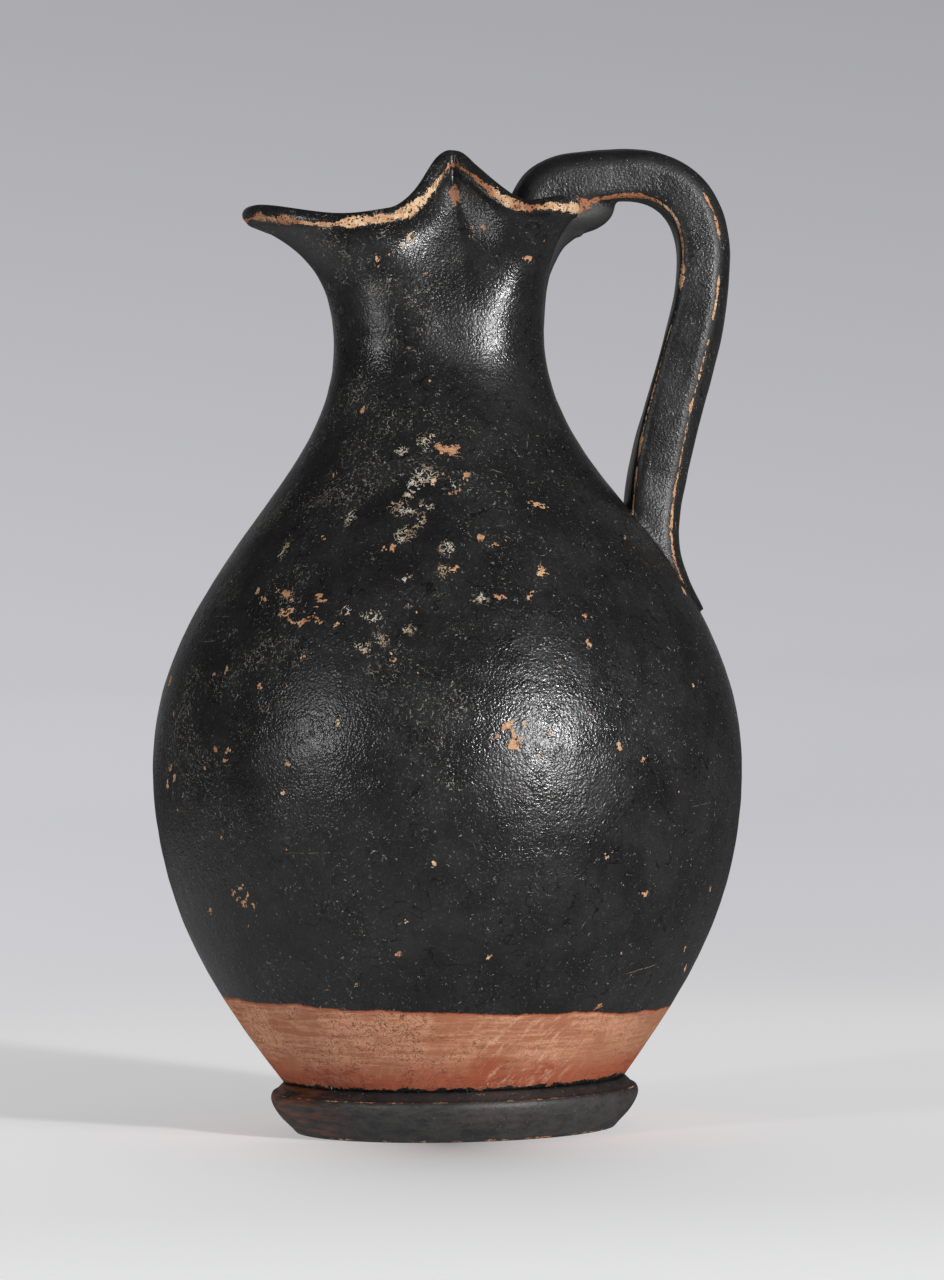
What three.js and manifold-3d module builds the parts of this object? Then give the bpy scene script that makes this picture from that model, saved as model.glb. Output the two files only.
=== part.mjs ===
// A trefoil oinochoe: a wheel-thrown jug with a mouth pinched into three lobes, a high strap handle
// opposite the spout and a ring foot. The pieces are thrown or pulled apart and luted together before
// the one firing, so nothing on it moves.
// Millimetres, +Z up, origin on the axis in the plane that the foot stands on.
// The spout points to -X and the handle to +X.
import * as THREE from "three";
import { mergeVertices } from "three/addons/utils/BufferGeometryUtils.js";
import Module from "manifold-3d";

const wasm = await Module();
wasm.setup();

// Joints and walls
const lutingGap = 0.3; // a luted joint is as wide as this film of slip
const wallThickness = 3.7;
const lipThickness = 3.2;

// Foot
const footHeight = 10;
const footStandRadius = 33;
const footSpreadReach = 2.2; // how far out, and over what height, the ring first spreads
const footSpreadRise = 2;
const footFlareRadius = 37.5;
const footFlareHeight = 7.2;
const footFlareCurveHeight = 2.8;
const footBrowRise = 1.4; // the rounded brow above the flare
const footLedgeRadius = 35.2;
const footLedgeReach = 1.2;
const footLedgeDrop = 1.1;
const footRingWidth = 6;
const footBoreRadius = 23.5;
const footEdgeRound = 0.7;

// Body
const bodyBaseRadius = 34.7;
const bellyRadius = 60.1;
const bellyHeight = 73;
const bellyLowerSpread = 11.2; // how far, and over what height, the wall first leans out of the foot
const bellyLowerRise = 15;
const bellyLowerCurveHeight = 28;
const bellyUpperCurveHeight = 42;
const neckCurveHeight = 30;
const floorThickness = 5.4;
const floorRounding = 9; // height over which the wall turns into the floor
const floorCornerPull = 5.4;
const floorFlatRadius = 22;
const underBulgeRadius = 15;
const underBulgeDepth = 3.6;
const shoulderSeamDrop = 25; // below the throat

// Neck and mouth: heights are above the throat, angles are in degrees round from the spout
const throatRadius = 21.4;
const throatHeight = 161;
const spoutReachRadius = 38.6;
const spoutRise = 24.6;
const spoutFlareRadius = 28;
const spoutFlareRise = 19.8;
const pinchRadius = 14.6;
const pinchRise = 24.4;
const pinchFlareRadius = 15.6;
const pinchFlareRise = 18.5;
const pinchPeakRise = 11;
const pinchPeakSpoutSpread = 43;
const pinchPeakHandleSpread = 28;
const sideLobeRadius = 31;
const backLobeRadius = 28.5;
const lobeRise = 25;
const lobeFlareInset = 4.4;
const lobeFlareRise = 20.6;
const flarePeakShare = 0.5; // how much of the pinch's peak the flare below it has
const waistRise = 14;
const spoutDipDepth = 1.8;
const spoutDipAngle = 42;
const spoutDipSpread = 34;
const neckPressDepth = 3.5; // the potter's grip flattens the neck on its near and far sides
const neckPressAngle = 90;
const neckPressSpread = 60;
const nearPinchAngle = 101;
const farPinchAngle = 122;
const nearLobeAngle = 143;
const farLobeAngle = 154;

// Handle
const strapWidth = 17;
const strapSideThickness = 8.2; // of the flat near and far sides
const strapOuterCrown = 1.7; // how far the outer face swells between the sides
const strapInnerCrown = 0.5;
const strapEndThickness = 5;
const strapEndShare = 0.12; // share of the strap over which it thickens from its end
const strapCornerPower = 4.2; // 2 gives an oval section, more gives a squarer one
const strapRootSpread = 1.25; // widening of the strap where it meets the shoulder
const strapSpreadFrom = 0.75; // shares of the strap between which it widens
const strapSpreadTo = 0.95;
const strapEndDepth = 5; // how far the strap is pressed down inside the mouth
const strapEndPress = 0.9; // how far its end is pressed against the wall
const strapEndClimbHeight = 12.2;
const strapRootDrop = 43; // below the throat
const strapRootSinkDepth = 1.4;
const strapRunOutLength = 16; // the last stretch, sunk in the shoulder
const strapRunOutSinkDepth = 0.9; // how deep its outer face ends under the shoulder's surface
const archTopRise = 32.3; // above the throat
const archCrownLength = 16; // from the top of the arch out to the handle's furthest reach
const archTurnLength = 11.4;
const archReachRadius = 53.8;
const archElbowDrop = 17; // from the top of the arch down to its furthest reach
const archSwingHeight = 23.2;

// Clay worked round the two ends of the handle
const padLength = 14;
const padWidth = 19;
const padHeight = 8.6;
const padReach = 2.6; // from the lip out to the middle of the lump
const padDrop = 0.2;
const rootClayLength = 29;
const rootClayWidth = 25;
const rootClayHeight = 4.6;

// How finely round forms are faceted
const turnSegments = 56;
const mouthSegments = 64;
const wallSteps = 10;
const blankSteps = 20;
const seamSteps = 5;
const mouthSteps = 8;
const lipSteps = 4;
const footSteps = 4;
const strapSteps = 30;
const strapSideSteps = 16;
const lumpSegments = 24;
const mergeDistance = 1e-3;

const smoothStep = THREE.MathUtils.smoothstep;
const lerp = THREE.MathUtils.lerp;
const v2 = (r, z) => new THREE.Vector2(r, z);

// Outer wall of the body: two curves that meet upright at the belly's greatest width.
const bodyBaseHeight = footHeight + lutingGap;
const lowerWall = new THREE.CubicBezierCurve(
  v2(bodyBaseRadius, bodyBaseHeight),
  v2(bodyBaseRadius + bellyLowerSpread, bodyBaseHeight + bellyLowerRise),
  v2(bellyRadius, bellyHeight - bellyLowerCurveHeight),
  v2(bellyRadius, bellyHeight),
);
const upperWall = new THREE.CubicBezierCurve(
  v2(bellyRadius, bellyHeight),
  v2(bellyRadius, bellyHeight + bellyUpperCurveHeight),
  v2(throatRadius, throatHeight - neckCurveHeight),
  v2(throatRadius, throatHeight),
);

// The share of the way along a rising curve at which it reaches a height, by halving the range.
function shareAtHeight(curve, height) {
  const halvings = 40;
  let low = 0;
  let high = 1;
  for (let i = 0; i < halvings; i++) {
    const middle = (low + high) / 2;
    if (curve.getPoint(middle).y < height) low = middle;
    else high = middle;
  }
  return low;
}

// Points of a profile curve, moved out from the axis side by a distance across the wall.
function wallLine(curve, from, to, steps, outwards) {
  const line = [];
  for (let i = 0; i <= steps; i++) {
    const share = lerp(from, to, i / steps);
    const point = curve.getPoint(share);
    const along = curve.getTangent(share);
    line.push(v2(point.x + along.y * outwards, point.y - along.x * outwards));
  }
  return line;
}

function turned(profile, segments = turnSegments) {
  return new THREE.LatheGeometry(profile, segments).rotateX(Math.PI / 2);
}

function solidOf(geometry) {
  const bare = geometry.clone();
  bare.deleteAttribute("normal");
  bare.deleteAttribute("uv");
  const merged = mergeVertices(bare, mergeDistance);
  return new wasm.Manifold(
    new wasm.Mesh({
      numProp: 3,
      vertProperties: new Float32Array(merged.attributes.position.array),
      triVerts: new Uint32Array(merged.index.array),
    }),
  );
}

function geometryOf(solid) {
  const mesh = solid.getMesh();
  const geometry = new THREE.BufferGeometry();
  geometry.setAttribute("position", new THREE.BufferAttribute(mesh.vertProperties, 3));
  geometry.setIndex(new THREE.BufferAttribute(mesh.triVerts, 1));
  geometry.computeVertexNormals();
  return geometry;
}

// Joins rings of points into one closed skin. With capped, fans close the first and last rings;
// otherwise the last ring joins the first, as round a hollow wall.
function skin(rings, capped) {
  const around = rings[0].length;
  const points = rings.flat();
  const index = [];
  const spans = capped ? rings.length - 1 : rings.length;
  for (let i = 0; i < spans; i++) {
    const here = i * around;
    const next = ((i + 1) % rings.length) * around;
    for (let j = 0; j < around; j++) {
      const k = (j + 1) % around;
      index.push(here + j, here + k, next + k, here + j, next + k, next + j);
    }
  }
  if (capped) {
    const last = (rings.length - 1) * around;
    const middles = [rings[0], rings[rings.length - 1]].map((ring) =>
      ring.reduce((sum, p) => sum.add(p), new THREE.Vector3()).divideScalar(around),
    );
    const first = points.length;
    points.push(...middles);
    for (let j = 0; j < around; j++) {
      const k = (j + 1) % around;
      index.push(first, k, j, first + 1, last + j, last + k);
    }
  }
  const geometry = new THREE.BufferGeometry();
  const positions = points.flatMap((p) => [p.x, p.y, p.z]);
  geometry.setAttribute("position", new THREE.Float32BufferAttribute(positions, 3));
  geometry.setIndex(index);
  geometry.computeVertexNormals();
  return geometry;
}

function finish(name, geometry, color, roughness) {
  const material = new THREE.MeshStandardMaterial({ color, roughness, metalness: 0 });
  const mesh = new THREE.Mesh(geometry, material);
  mesh.name = name;
  return mesh;
}

const blackGloss = 0x1f1f1e;
const glossRoughness = 0.32;

// Foot: a ring that flares to a rounded edge, with a narrow sloping ledge up to the body.
function footRing() {
  const flare = new THREE.CubicBezierCurve(
    v2(footStandRadius, footEdgeRound),
    v2(footStandRadius + footSpreadReach, footEdgeRound + footSpreadRise),
    v2(footFlareRadius, footFlareHeight - footFlareCurveHeight),
    v2(footFlareRadius, footFlareHeight),
  );
  const ledge = new THREE.CubicBezierCurve(
    v2(footFlareRadius, footFlareHeight),
    v2(footFlareRadius, footFlareHeight + footBrowRise),
    v2(footLedgeRadius + footLedgeReach, footHeight - footLedgeDrop),
    v2(footLedgeRadius, footHeight),
  );
  const innerStand = footStandRadius - footRingWidth;
  const profile = [
    v2(innerStand + footEdgeRound, 0),
    v2(footStandRadius - footEdgeRound, 0),
    ...flare.getPoints(footSteps),
    ...ledge.getPoints(footSteps).slice(1),
    v2(footBoreRadius, footHeight),
    v2(innerStand, footEdgeRound),
    v2(innerStand + footEdgeRound, 0),
  ];
  return turned(profile);
}

// Body: floor, belly and shoulder, up to the joint with the neck.
const seamShare = shareAtHeight(upperWall, throatHeight - shoulderSeamDrop);
const seamHalf = lutingGap / 2 / upperWall.getLength();

function bodyShell() {
  const floorTop = bodyBaseHeight - underBulgeDepth + floorThickness;
  const innerStart = shareAtHeight(lowerWall, floorTop + floorRounding);
  const innerLower = wallLine(lowerWall, 1, innerStart, wallSteps, -wallThickness);
  const corner = innerLower[innerLower.length - 1];
  const cornerPull = lowerWall.getTangent(innerStart).multiplyScalar(floorCornerPull);
  const floorCurve = new THREE.CubicBezierCurve(
    corner,
    corner.clone().sub(cornerPull),
    v2(floorFlatRadius, floorTop),
    v2(0, floorTop),
  );
  const profile = [
    v2(0, bodyBaseHeight - underBulgeDepth),
    v2(underBulgeRadius, bodyBaseHeight - underBulgeDepth),
    v2(footBoreRadius - footEdgeRound, bodyBaseHeight),
    ...wallLine(lowerWall, 0, 1, wallSteps, 0),
    ...wallLine(upperWall, 0, seamShare - seamHalf, wallSteps, 0).slice(1),
    ...wallLine(upperWall, seamShare - seamHalf, 0, wallSteps, -wallThickness),
    ...innerLower.slice(1),
    ...floorCurve.getPoints(footSteps).slice(1),
  ];
  return turned(profile);
}

// The space that the body fills, hollow and all, with a film of slip on it.
function bodyBlank() {
  const profile = [
    v2(0, bodyBaseHeight),
    ...wallLine(lowerWall, 0, 1, wallSteps, lutingGap),
    ...wallLine(upperWall, 0, 1, blankSteps, lutingGap).slice(1),
    v2(0, throatHeight),
  ];
  return solidOf(turned(profile));
}

// How much of each lobe's shape the mouth has at an angle round from the spout.
function mouthShares(angle, pinchAngle, lobeAngle) {
  if (angle < pinchAngle) {
    const pinch = smoothStep(angle, 0, pinchAngle);
    return { spout: 1 - pinch, pinch, lobe: 0, back: 0 };
  }
  if (angle < lobeAngle) {
    const lobe = smoothStep(angle, pinchAngle, lobeAngle);
    return { spout: 0, pinch: 1 - lobe, lobe, back: 0 };
  }
  const back = smoothStep(angle, lobeAngle, 180);
  return { spout: 0, pinch: 0, lobe: 1 - back, back };
}

function bump(angle, centre, lowSpread, highSpread) {
  const spread = angle < centre ? lowSpread : highSpread;
  return 1 - smoothStep(Math.abs(angle - centre), 0, spread);
}

// The angle in degrees from the spout, on either side, of a turn in radians round from the spout by way
// of the near side.
function turnFromSpout(turn) {
  return THREE.MathUtils.radToDeg(turn <= Math.PI ? turn : 2 * Math.PI - turn);
}

// The mouth's outer line from the throat to the lip.
function mouthLine(turn) {
  const near = turn <= Math.PI;
  const angle = turnFromSpout(turn);
  const pinchAngle = near ? nearPinchAngle : farPinchAngle;
  const share = mouthShares(angle, pinchAngle, near ? nearLobeAngle : farLobeAngle);
  const peak = pinchPeakRise * bump(angle, pinchAngle, pinchPeakSpoutSpread, pinchPeakHandleSpread);
  const dip = spoutDipDepth * bump(angle, spoutDipAngle, spoutDipSpread, spoutDipSpread);
  const lobes = share.lobe + share.back;
  const rimRadius =
    share.spout * spoutReachRadius +
    share.pinch * pinchRadius +
    share.lobe * sideLobeRadius +
    share.back * backLobeRadius;
  const rimRise =
    share.spout * spoutRise + share.pinch * pinchRise + lobes * lobeRise + peak - dip;
  const flareRadius =
    share.spout * spoutFlareRadius +
    share.pinch * pinchFlareRadius +
    share.lobe * (sideLobeRadius - lobeFlareInset) +
    share.back * (backLobeRadius - lobeFlareInset);
  const flareRise =
    share.spout * spoutFlareRise +
    share.pinch * pinchFlareRise +
    lobes * lobeFlareRise +
    peak * flarePeakShare -
    dip;
  return new THREE.CubicBezierCurve(
    v2(throatRadius, throatHeight),
    v2(throatRadius, throatHeight + waistRise),
    v2(flareRadius, throatHeight + flareRise),
    v2(rimRadius, throatHeight + rimRise),
  );
}

// How far the wall is pressed in: most at the throat, nothing at the joint with the body or at the lip.
function pressAt(turn, level) {
  const angle = turnFromSpout(turn);
  const shareUp = level <= 1 ? smoothStep(level, 0, 1) : 1 - smoothStep(level, 1, 2);
  return neckPressDepth * shareUp * bump(angle, neckPressAngle, neckPressSpread, neckPressSpread);
}

// A point of the outer wall: level 0 is the joint with the body, 1 the throat and 2 the lip.
function neckPoint(turn, level) {
  const at =
    level <= 1
      ? upperWall.getPoint(lerp(seamShare + seamHalf, 1, level))
      : mouthLine(turn).getPoint(level - 1);
  const radius = at.x - pressAt(turn, level);
  return new THREE.Vector3(-radius * Math.cos(turn), -radius * Math.sin(turn), at.y);
}

// The outward and upward directions of the wall at a point.
function neckDirections(turn, level) {
  const step = 1e-3;
  const below = Math.max(level - step, 0);
  const above = Math.min(level + step, 2);
  const up = neckPoint(turn, above).sub(neckPoint(turn, below)).normalize();
  const aside = neckPoint(turn + step, level).sub(neckPoint(turn - step, level));
  return { up, out: new THREE.Vector3().crossVectors(aside, up).normalize() };
}

function neckRing(makePoint) {
  const ring = [];
  for (let j = 0; j < mouthSegments; j++) ring.push(makePoint((2 * Math.PI * j) / mouthSegments));
  return ring;
}

const neckLevels = [];
for (let i = 0; i <= seamSteps; i++) neckLevels.push(i / seamSteps);
for (let i = 1; i <= mouthSteps; i++) neckLevels.push(1 + i / mouthSteps);

function neckOffset(turn, level, outwards) {
  return neckPoint(turn, level).addScaledVector(neckDirections(turn, level).out, outwards);
}

function thicknessAt(level) {
  return lerp(wallThickness, lipThickness, Math.max(level - 1, 0));
}

// Neck and mouth: one wall with a rounded lip. A film round it keeps other pieces off it.
function neckShell(film) {
  const outer = neckLevels.map((level) => neckRing((turn) => neckOffset(turn, level, film)));
  const inner = neckLevels.map((level) =>
    neckRing((turn) => neckOffset(turn, level, -thicknessAt(level) - film)),
  );
  const lip = [];
  for (let i = 1; i < lipSteps; i++) {
    const bend = (Math.PI * i) / lipSteps;
    const radius = lipThickness / 2 + film;
    lip.push(
      neckRing((turn) => {
        const { up, out } = neckDirections(turn, 2);
        return neckOffset(turn, 2, -lipThickness / 2)
          .addScaledVector(out, radius * Math.cos(bend))
          .addScaledVector(up, radius * Math.sin(bend));
      }),
    );
  }
  return skin([...outer, ...lip, ...inner.reverse()], false);
}

// The space inside and above the mouth's outer wall, up past the arch of the handle.
function mouthBlank() {
  const rings = neckLevels.map((level) => neckRing((turn) => neckOffset(turn, level, lutingGap)));
  const top = rings[rings.length - 1].map((p) => p.clone().setZ(p.z + archTopRise));
  return solidOf(skin([...rings, top], true));
}

// Handle: a strap that starts inside the back of the mouth, climbs over the lip, arches high and comes
// down to the shoulder, where it runs out along the body.
const rimTop = throatHeight + lobeRise;
const innerBack = backLobeRadius - lobeFlareInset - lipThickness;
const strapRootHeight = throatHeight - strapRootDrop;
const rootShare = shareAtHeight(upperWall, strapRootHeight);
const rootPoint = upperWall.getPoint(rootShare);
const at = (x, z) => new THREE.Vector3(x, 0, z);
const bend = (from, fromPull, toPull, to) => new THREE.CubicBezierCurve3(from, fromPull, toPull, to);

function strapCentreLine() {
  const end = at(innerBack - strapEndThickness / 2 + strapEndPress, rimTop - strapEndDepth);
  const crown = at(archReachRadius - archCrownLength, throatHeight + archTopRise);
  const elbow = at(archReachRadius, crown.z - archElbowDrop);
  const root = at(rootPoint.x - strapRootSinkDepth, strapRootHeight);
  const runOutHeight = root.z - strapRunOutLength;
  const runOutWall = upperWall.getPoint(shareAtHeight(upperWall, runOutHeight)).x;
  const runOutSink = strapSideThickness / 2 + strapOuterCrown + strapRunOutSinkDepth;
  const runOut = at(runOutWall - runOutSink, runOutHeight);
  const third = strapRunOutLength / 3;
  const overLip = at(end.x, end.z + strapEndClimbHeight);
  const towardsCrown = at(crown.x - archTurnLength, crown.z);
  const pastCrown = at(crown.x + archTurnLength, crown.z);
  const aboveElbow = at(elbow.x, elbow.z + archTurnLength);
  const belowElbow = at(elbow.x, elbow.z - archSwingHeight);
  const aboveRoot = at(root.x, root.z + archSwingHeight);
  const belowRoot = at(root.x, root.z - third);
  const aboveRunOut = at((root.x + runOut.x) / 2, runOut.z + third);
  const line = new THREE.CurvePath();
  line.add(bend(end, overLip, towardsCrown, crown));
  line.add(bend(crown, pastCrown, aboveElbow, elbow));
  line.add(bend(elbow, belowElbow, aboveRoot, root));
  line.add(bend(root, belowRoot, aboveRunOut, runOut));
  return line;
}

// The strap's section: flat sides, and two faces that swell a little between them. Across is -1 to 1
// over the width, and the depth is measured outwards from the middle of the sides.
function strapSection(thickness) {
  const points = [];
  for (let j = 0; j < strapSideSteps; j++) {
    const turn = (2 * Math.PI * j) / strapSideSteps;
    const squared = (value) => Math.sign(value) * Math.abs(value) ** (2 / strapCornerPower);
    const across = squared(Math.cos(turn));
    const crown = (Math.sin(turn) > 0 ? strapOuterCrown : -strapInnerCrown) * (1 - across ** 2);
    points.push({ across, depth: (squared(Math.sin(turn)) * thickness) / 2 + crown });
  }
  return points;
}

function strapSolid(film) {
  const line = strapCentreLine();
  const nearToFar = new THREE.Vector3(0, 1, 0);
  const rings = [];
  for (let i = 0; i <= strapSteps; i++) {
    const share = i / strapSteps;
    const centre = line.getPointAt(share);
    const outward = new THREE.Vector3().crossVectors(line.getTangentAt(share), nearToFar);
    const thickening = smoothStep(share, 0, strapEndShare);
    const spreading = smoothStep(share, strapSpreadFrom, strapSpreadTo);
    const thickness = lerp(strapEndThickness, strapSideThickness, thickening) + 2 * film;
    const halfWide = (strapWidth / 2) * lerp(1, strapRootSpread, spreading) + film;
    rings.push(
      strapSection(thickness).map(({ across, depth }) =>
        centre
          .clone()
          .addScaledVector(nearToFar, across * halfWide)
          .addScaledVector(outward, depth),
      ),
    );
  }
  return solidOf(skin(rings, true));
}

function lump(length, width, height, x, z, tilt) {
  const half = new THREE.SphereGeometry(0.5, lumpSegments, lumpSegments / 2);
  return solidOf(half.scale(length, width, height).rotateY(tilt).translate(x, 0, z));
}

const body = bodyBlank();
const neckRoom = solidOf(neckShell(lutingGap));
const strapRoom = strapSolid(lutingGap);
const strap = strapSolid(0).subtract(neckRoom).subtract(body);

// The thumbed lump of clay that backs the handle, outside the lip.
function upperPad() {
  return lump(padLength, padWidth, padHeight, backLobeRadius + padReach, rimTop - padDrop, 0)
    .subtract(mouthBlank())
    .subtract(neckRoom)
    .subtract(strapRoom);
}

// The clay smeared round the root of the handle on the shoulder.
function rootClay() {
  const along = upperWall.getTangent(rootShare);
  const tilt = Math.atan2(along.y, -along.x);
  return lump(rootClayLength, rootClayWidth, rootClayHeight, rootPoint.x, rootPoint.y, tilt)
    .subtract(body)
    .subtract(strapRoom);
}

const jug = new THREE.Group();
jug.add(
  finish("foot", footRing(), blackGloss, glossRoughness),
  finish("body_wall", bodyShell(), blackGloss, glossRoughness),
  finish("neck_and_mouth", neckShell(0), blackGloss, glossRoughness),
  finish("strap_handle", geometryOf(strap), blackGloss, glossRoughness),
  finish("upper_handle_pad", geometryOf(upperPad()), blackGloss, glossRoughness),
  finish("handle_root_luting", geometryOf(rootClay()), blackGloss, glossRoughness),
);

export default jug;
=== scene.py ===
# A trefoil oinochoe in black glaze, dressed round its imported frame.
# Blender 4.5. The spout points to -X and the handle to +X, the near side is -Y and +Z is up.
# Shapes are worked out in millimetres and made in metres.
from functools import partialmethod
from math import atan2, cos, pi, radians, sin

import bpy
import numpy as np
from mathutils import Matrix, Vector, noise


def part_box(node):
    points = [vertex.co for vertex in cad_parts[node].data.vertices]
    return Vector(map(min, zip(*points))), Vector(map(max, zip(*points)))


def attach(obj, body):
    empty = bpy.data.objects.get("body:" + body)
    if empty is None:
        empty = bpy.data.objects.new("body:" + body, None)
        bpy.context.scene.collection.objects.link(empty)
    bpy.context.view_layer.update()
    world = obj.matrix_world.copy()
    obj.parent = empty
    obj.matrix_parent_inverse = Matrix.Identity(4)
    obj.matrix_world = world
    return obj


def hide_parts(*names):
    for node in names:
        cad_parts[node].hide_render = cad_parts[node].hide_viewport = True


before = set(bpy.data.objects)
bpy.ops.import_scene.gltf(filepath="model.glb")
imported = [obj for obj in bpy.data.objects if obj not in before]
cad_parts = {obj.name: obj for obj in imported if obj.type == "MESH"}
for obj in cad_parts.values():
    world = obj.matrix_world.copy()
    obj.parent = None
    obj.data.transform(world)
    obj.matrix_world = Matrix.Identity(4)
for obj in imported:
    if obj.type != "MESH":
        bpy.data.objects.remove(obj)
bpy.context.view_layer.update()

MM = 0.001

# Camera, fitted to the photograph
PHOTO_HEIGHT_PX = 1280
MM_PER_PX = 0.2042
CAMERA_DISTANCE = 1.12
CAMERA_TURN = radians(-5.0)
CAMERA_HEIGHT = 0.0996
CAMERA_ASIDE = 0.0055
CAMERA_ROLL = radians(1.2)
SENSOR_MM = 36.0

# Sizes that the frame gives, in millimetres
BELLY_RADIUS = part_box("body_wall")[1].x / MM
FOOT_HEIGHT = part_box("foot")[1].z / MM
FOOT_FLARE_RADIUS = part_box("foot")[1].x / MM

# Body, in millimetres
WALL_THICKNESS = 3.7
LIP_THICKNESS = 3.2
BODY_BASE_RADIUS = 34.7
BODY_BASE_HEIGHT = FOOT_HEIGHT + 0.3
BELLY_HEIGHT = 73.0
BELLY_LOWER_SPREAD = 11.2
BELLY_LOWER_RISE = 15.0
BELLY_LOWER_CURVE = 28.0
BELLY_UPPER_CURVE = 42.0
NECK_CURVE = 30.0
THROAT_RADIUS = 21.4
THROAT_HEIGHT = 161.0
SEAM_HEIGHT = 136.0
UNDER_BULGE_RADIUS = 15.0
UNDER_BULGE_DEPTH = 3.6
UNDER_BORE_RADIUS = 22.8
FLOOR_TOP = 12.1
FLOOR_ROUNDING = 9.0

UNDER_BULGE_FROM, UNDER_BULGE_TO, UNDER_RIM_WIDTH = 4.0, 9.0, 4.0
FLOOR_CORNER_IN, FLOOR_CORNER_DOWN, FLOOR_REACH, FLOOR_MIDDLE = 3.2, 4.3, 22.0, 2.5
# A slow unevenness and the faint rings of the wheel: height and spacing
HAND_WAVE, HAND_WAVE_LENGTH, WHEEL_RING, WHEEL_RING_GAP = 0.22, 34.0, 0.07, 3.2
WALL_COLUMNS, LOWER_ROWS, UPPER_ROWS, MOUTH_ROWS, LIP_ROWS, FLOOR_ROWS = 288, 62, 92, 50, 12, 12
LIP_DISTANCE_KEPT = 40

# Foot: the ring's outline, as radius and height, from its inner top down, round and up to the ledge
FOOT_OUTLINE = (
    (23.4, 10.2), (24.6, 7.2), (25.8, 4.0), (26.7, 1.4), (27.1, 0.5), (27.7, 0.05), (28.6, 0.0),
    (30.5, 0.0), (32.0, 0.0), (32.5, 0.12), (32.9, 0.5), (33.3, 1.0), (33.9, 1.6), (34.6, 2.3),
    (35.3, 3.0), (36.0, 3.9), (36.6, 4.8), (37.1, 5.7), (37.4, 6.5), (FOOT_FLARE_RADIUS, 7.2),
    (37.42, 7.8), (37.15, 8.3), (36.85, 8.55), (36.62, 8.52), (36.4, 8.66), (36.1, 8.95),
    (35.75, 9.3), (35.4, 9.65), (35.1, 9.95), (34.75, 10.18), (34.2, 10.3), (33.0, 10.3),
)
FOOT_COLUMNS, FOOT_STEP = 240, 0.45
FOOT_WAVE, FOOT_LEDGE_WAVE, FOOT_LEDGE = 0.12, 0.1, 8.0
# Where the foot is rubbed, its brow and its base: radius and height, width and presence
FOOT_WEAR = (((37.1, 8.35), 0.3, 0.0), ((32.8, 0.2), 0.6, 0.12))

# Mouth: heights are above the throat, angles in degrees round from the spout
SPOUT_REACH, SPOUT_RISE = 38.6, 24.6
SPOUT_FLARE, SPOUT_FLARE_RISE = 28.0, 19.8
PINCH_RADIUS, PINCH_RISE = 11.5, 24.4
PINCH_FLARE, PINCH_FLARE_RISE = 10.2, 18.5
PINCH_PEAK, PEAK_SPOUT_SPREAD, PEAK_HANDLE_SPREAD = 11.7, 42.0, 27.0
SIDE_LOBE_RADIUS, BACK_LOBE_RADIUS = 31.0, 28.5
LOBE_RISE, LOBE_FLARE_INSET, LOBE_FLARE_RISE = 25.0, 4.4, 20.6
WAIST_RISE = 14.0
SPOUT_DIP, SPOUT_DIP_ANGLE, SPOUT_DIP_SPREAD = 2.4, 42.0, 34.0
NECK_PRESS, NECK_PRESS_ANGLE, NECK_PRESS_SPREAD = 3.5, 90.0, 60.0
NEAR_PINCH, FAR_PINCH = 104.0, 122.0
NEAR_LOBE, FAR_LOBE = 143.0, 154.0
CREASE_DEPTH, CREASE_HALF_WIDTH, CREASE_LEVELS = 1.2, 0.65, (0.72, 0.94)
RIM_CORNER_PROUD, RIM_CORNER_WIDTH = 0.4, 0.9
RIM_CORNER_DROP, PINCH_CORNER_DROP = 0.8, 1.8
DROP_SPOUT_SPREAD, DROP_HANDLE_SPREAD = 46.0, 14.0

# Handle: heights of the arch are above the throat
STRAP_WIDTH, STRAP_OUTER_CROWN, STRAP_INNER_CROWN = 17.0, 1.9, 0.3
STRAP_END_SIDE, STRAP_END_SHARE, STRAP_END_DEPTH, STRAP_END_PRESS = 5.0, 0.12, 5.0, 0.9
STRAP_END_CLIMB = 12.2
STRAP_CORNER_POWER = 5.5
STRAP_ROOT_SPREAD, STRAP_SPREAD_FROM, STRAP_SPREAD_TO = 1.25, 0.75, 0.95
STRAP_ROOT_DROP, STRAP_ROOT_SINK = 43.0, 1.4
STRAP_RUN_OUT, STRAP_RUN_OUT_SINK = 16.0, 0.9
ARCH_TOP_RISE, ARCH_CROWN_LENGTH, ARCH_TURN = 32.3, 16.0, 11.4
ARCH_REACH, ARCH_ELBOW_DROP, ARCH_SWING = 53.8, 17.0, 23.2
ROOT_HEIGHT = THROAT_HEIGHT - STRAP_ROOT_DROP
ROOT_SWELL, ROOT_SWELL_HEIGHT, ROOT_SWELL_WIDTH, ROOT_SWELL_DROP = 1.0, 12.0, 15.0, 2.0
HANDLE_VOXEL = 0.45
NUB_CENTRE, NUB_SIZE = (28.6, -4.0, 181.9), (2.6, 3.0, 2.0)
ROOT_CLAY_SIZE, ROOT_CLAY_SINK = (29.0, 25.0, 8.0), 3.0
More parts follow.
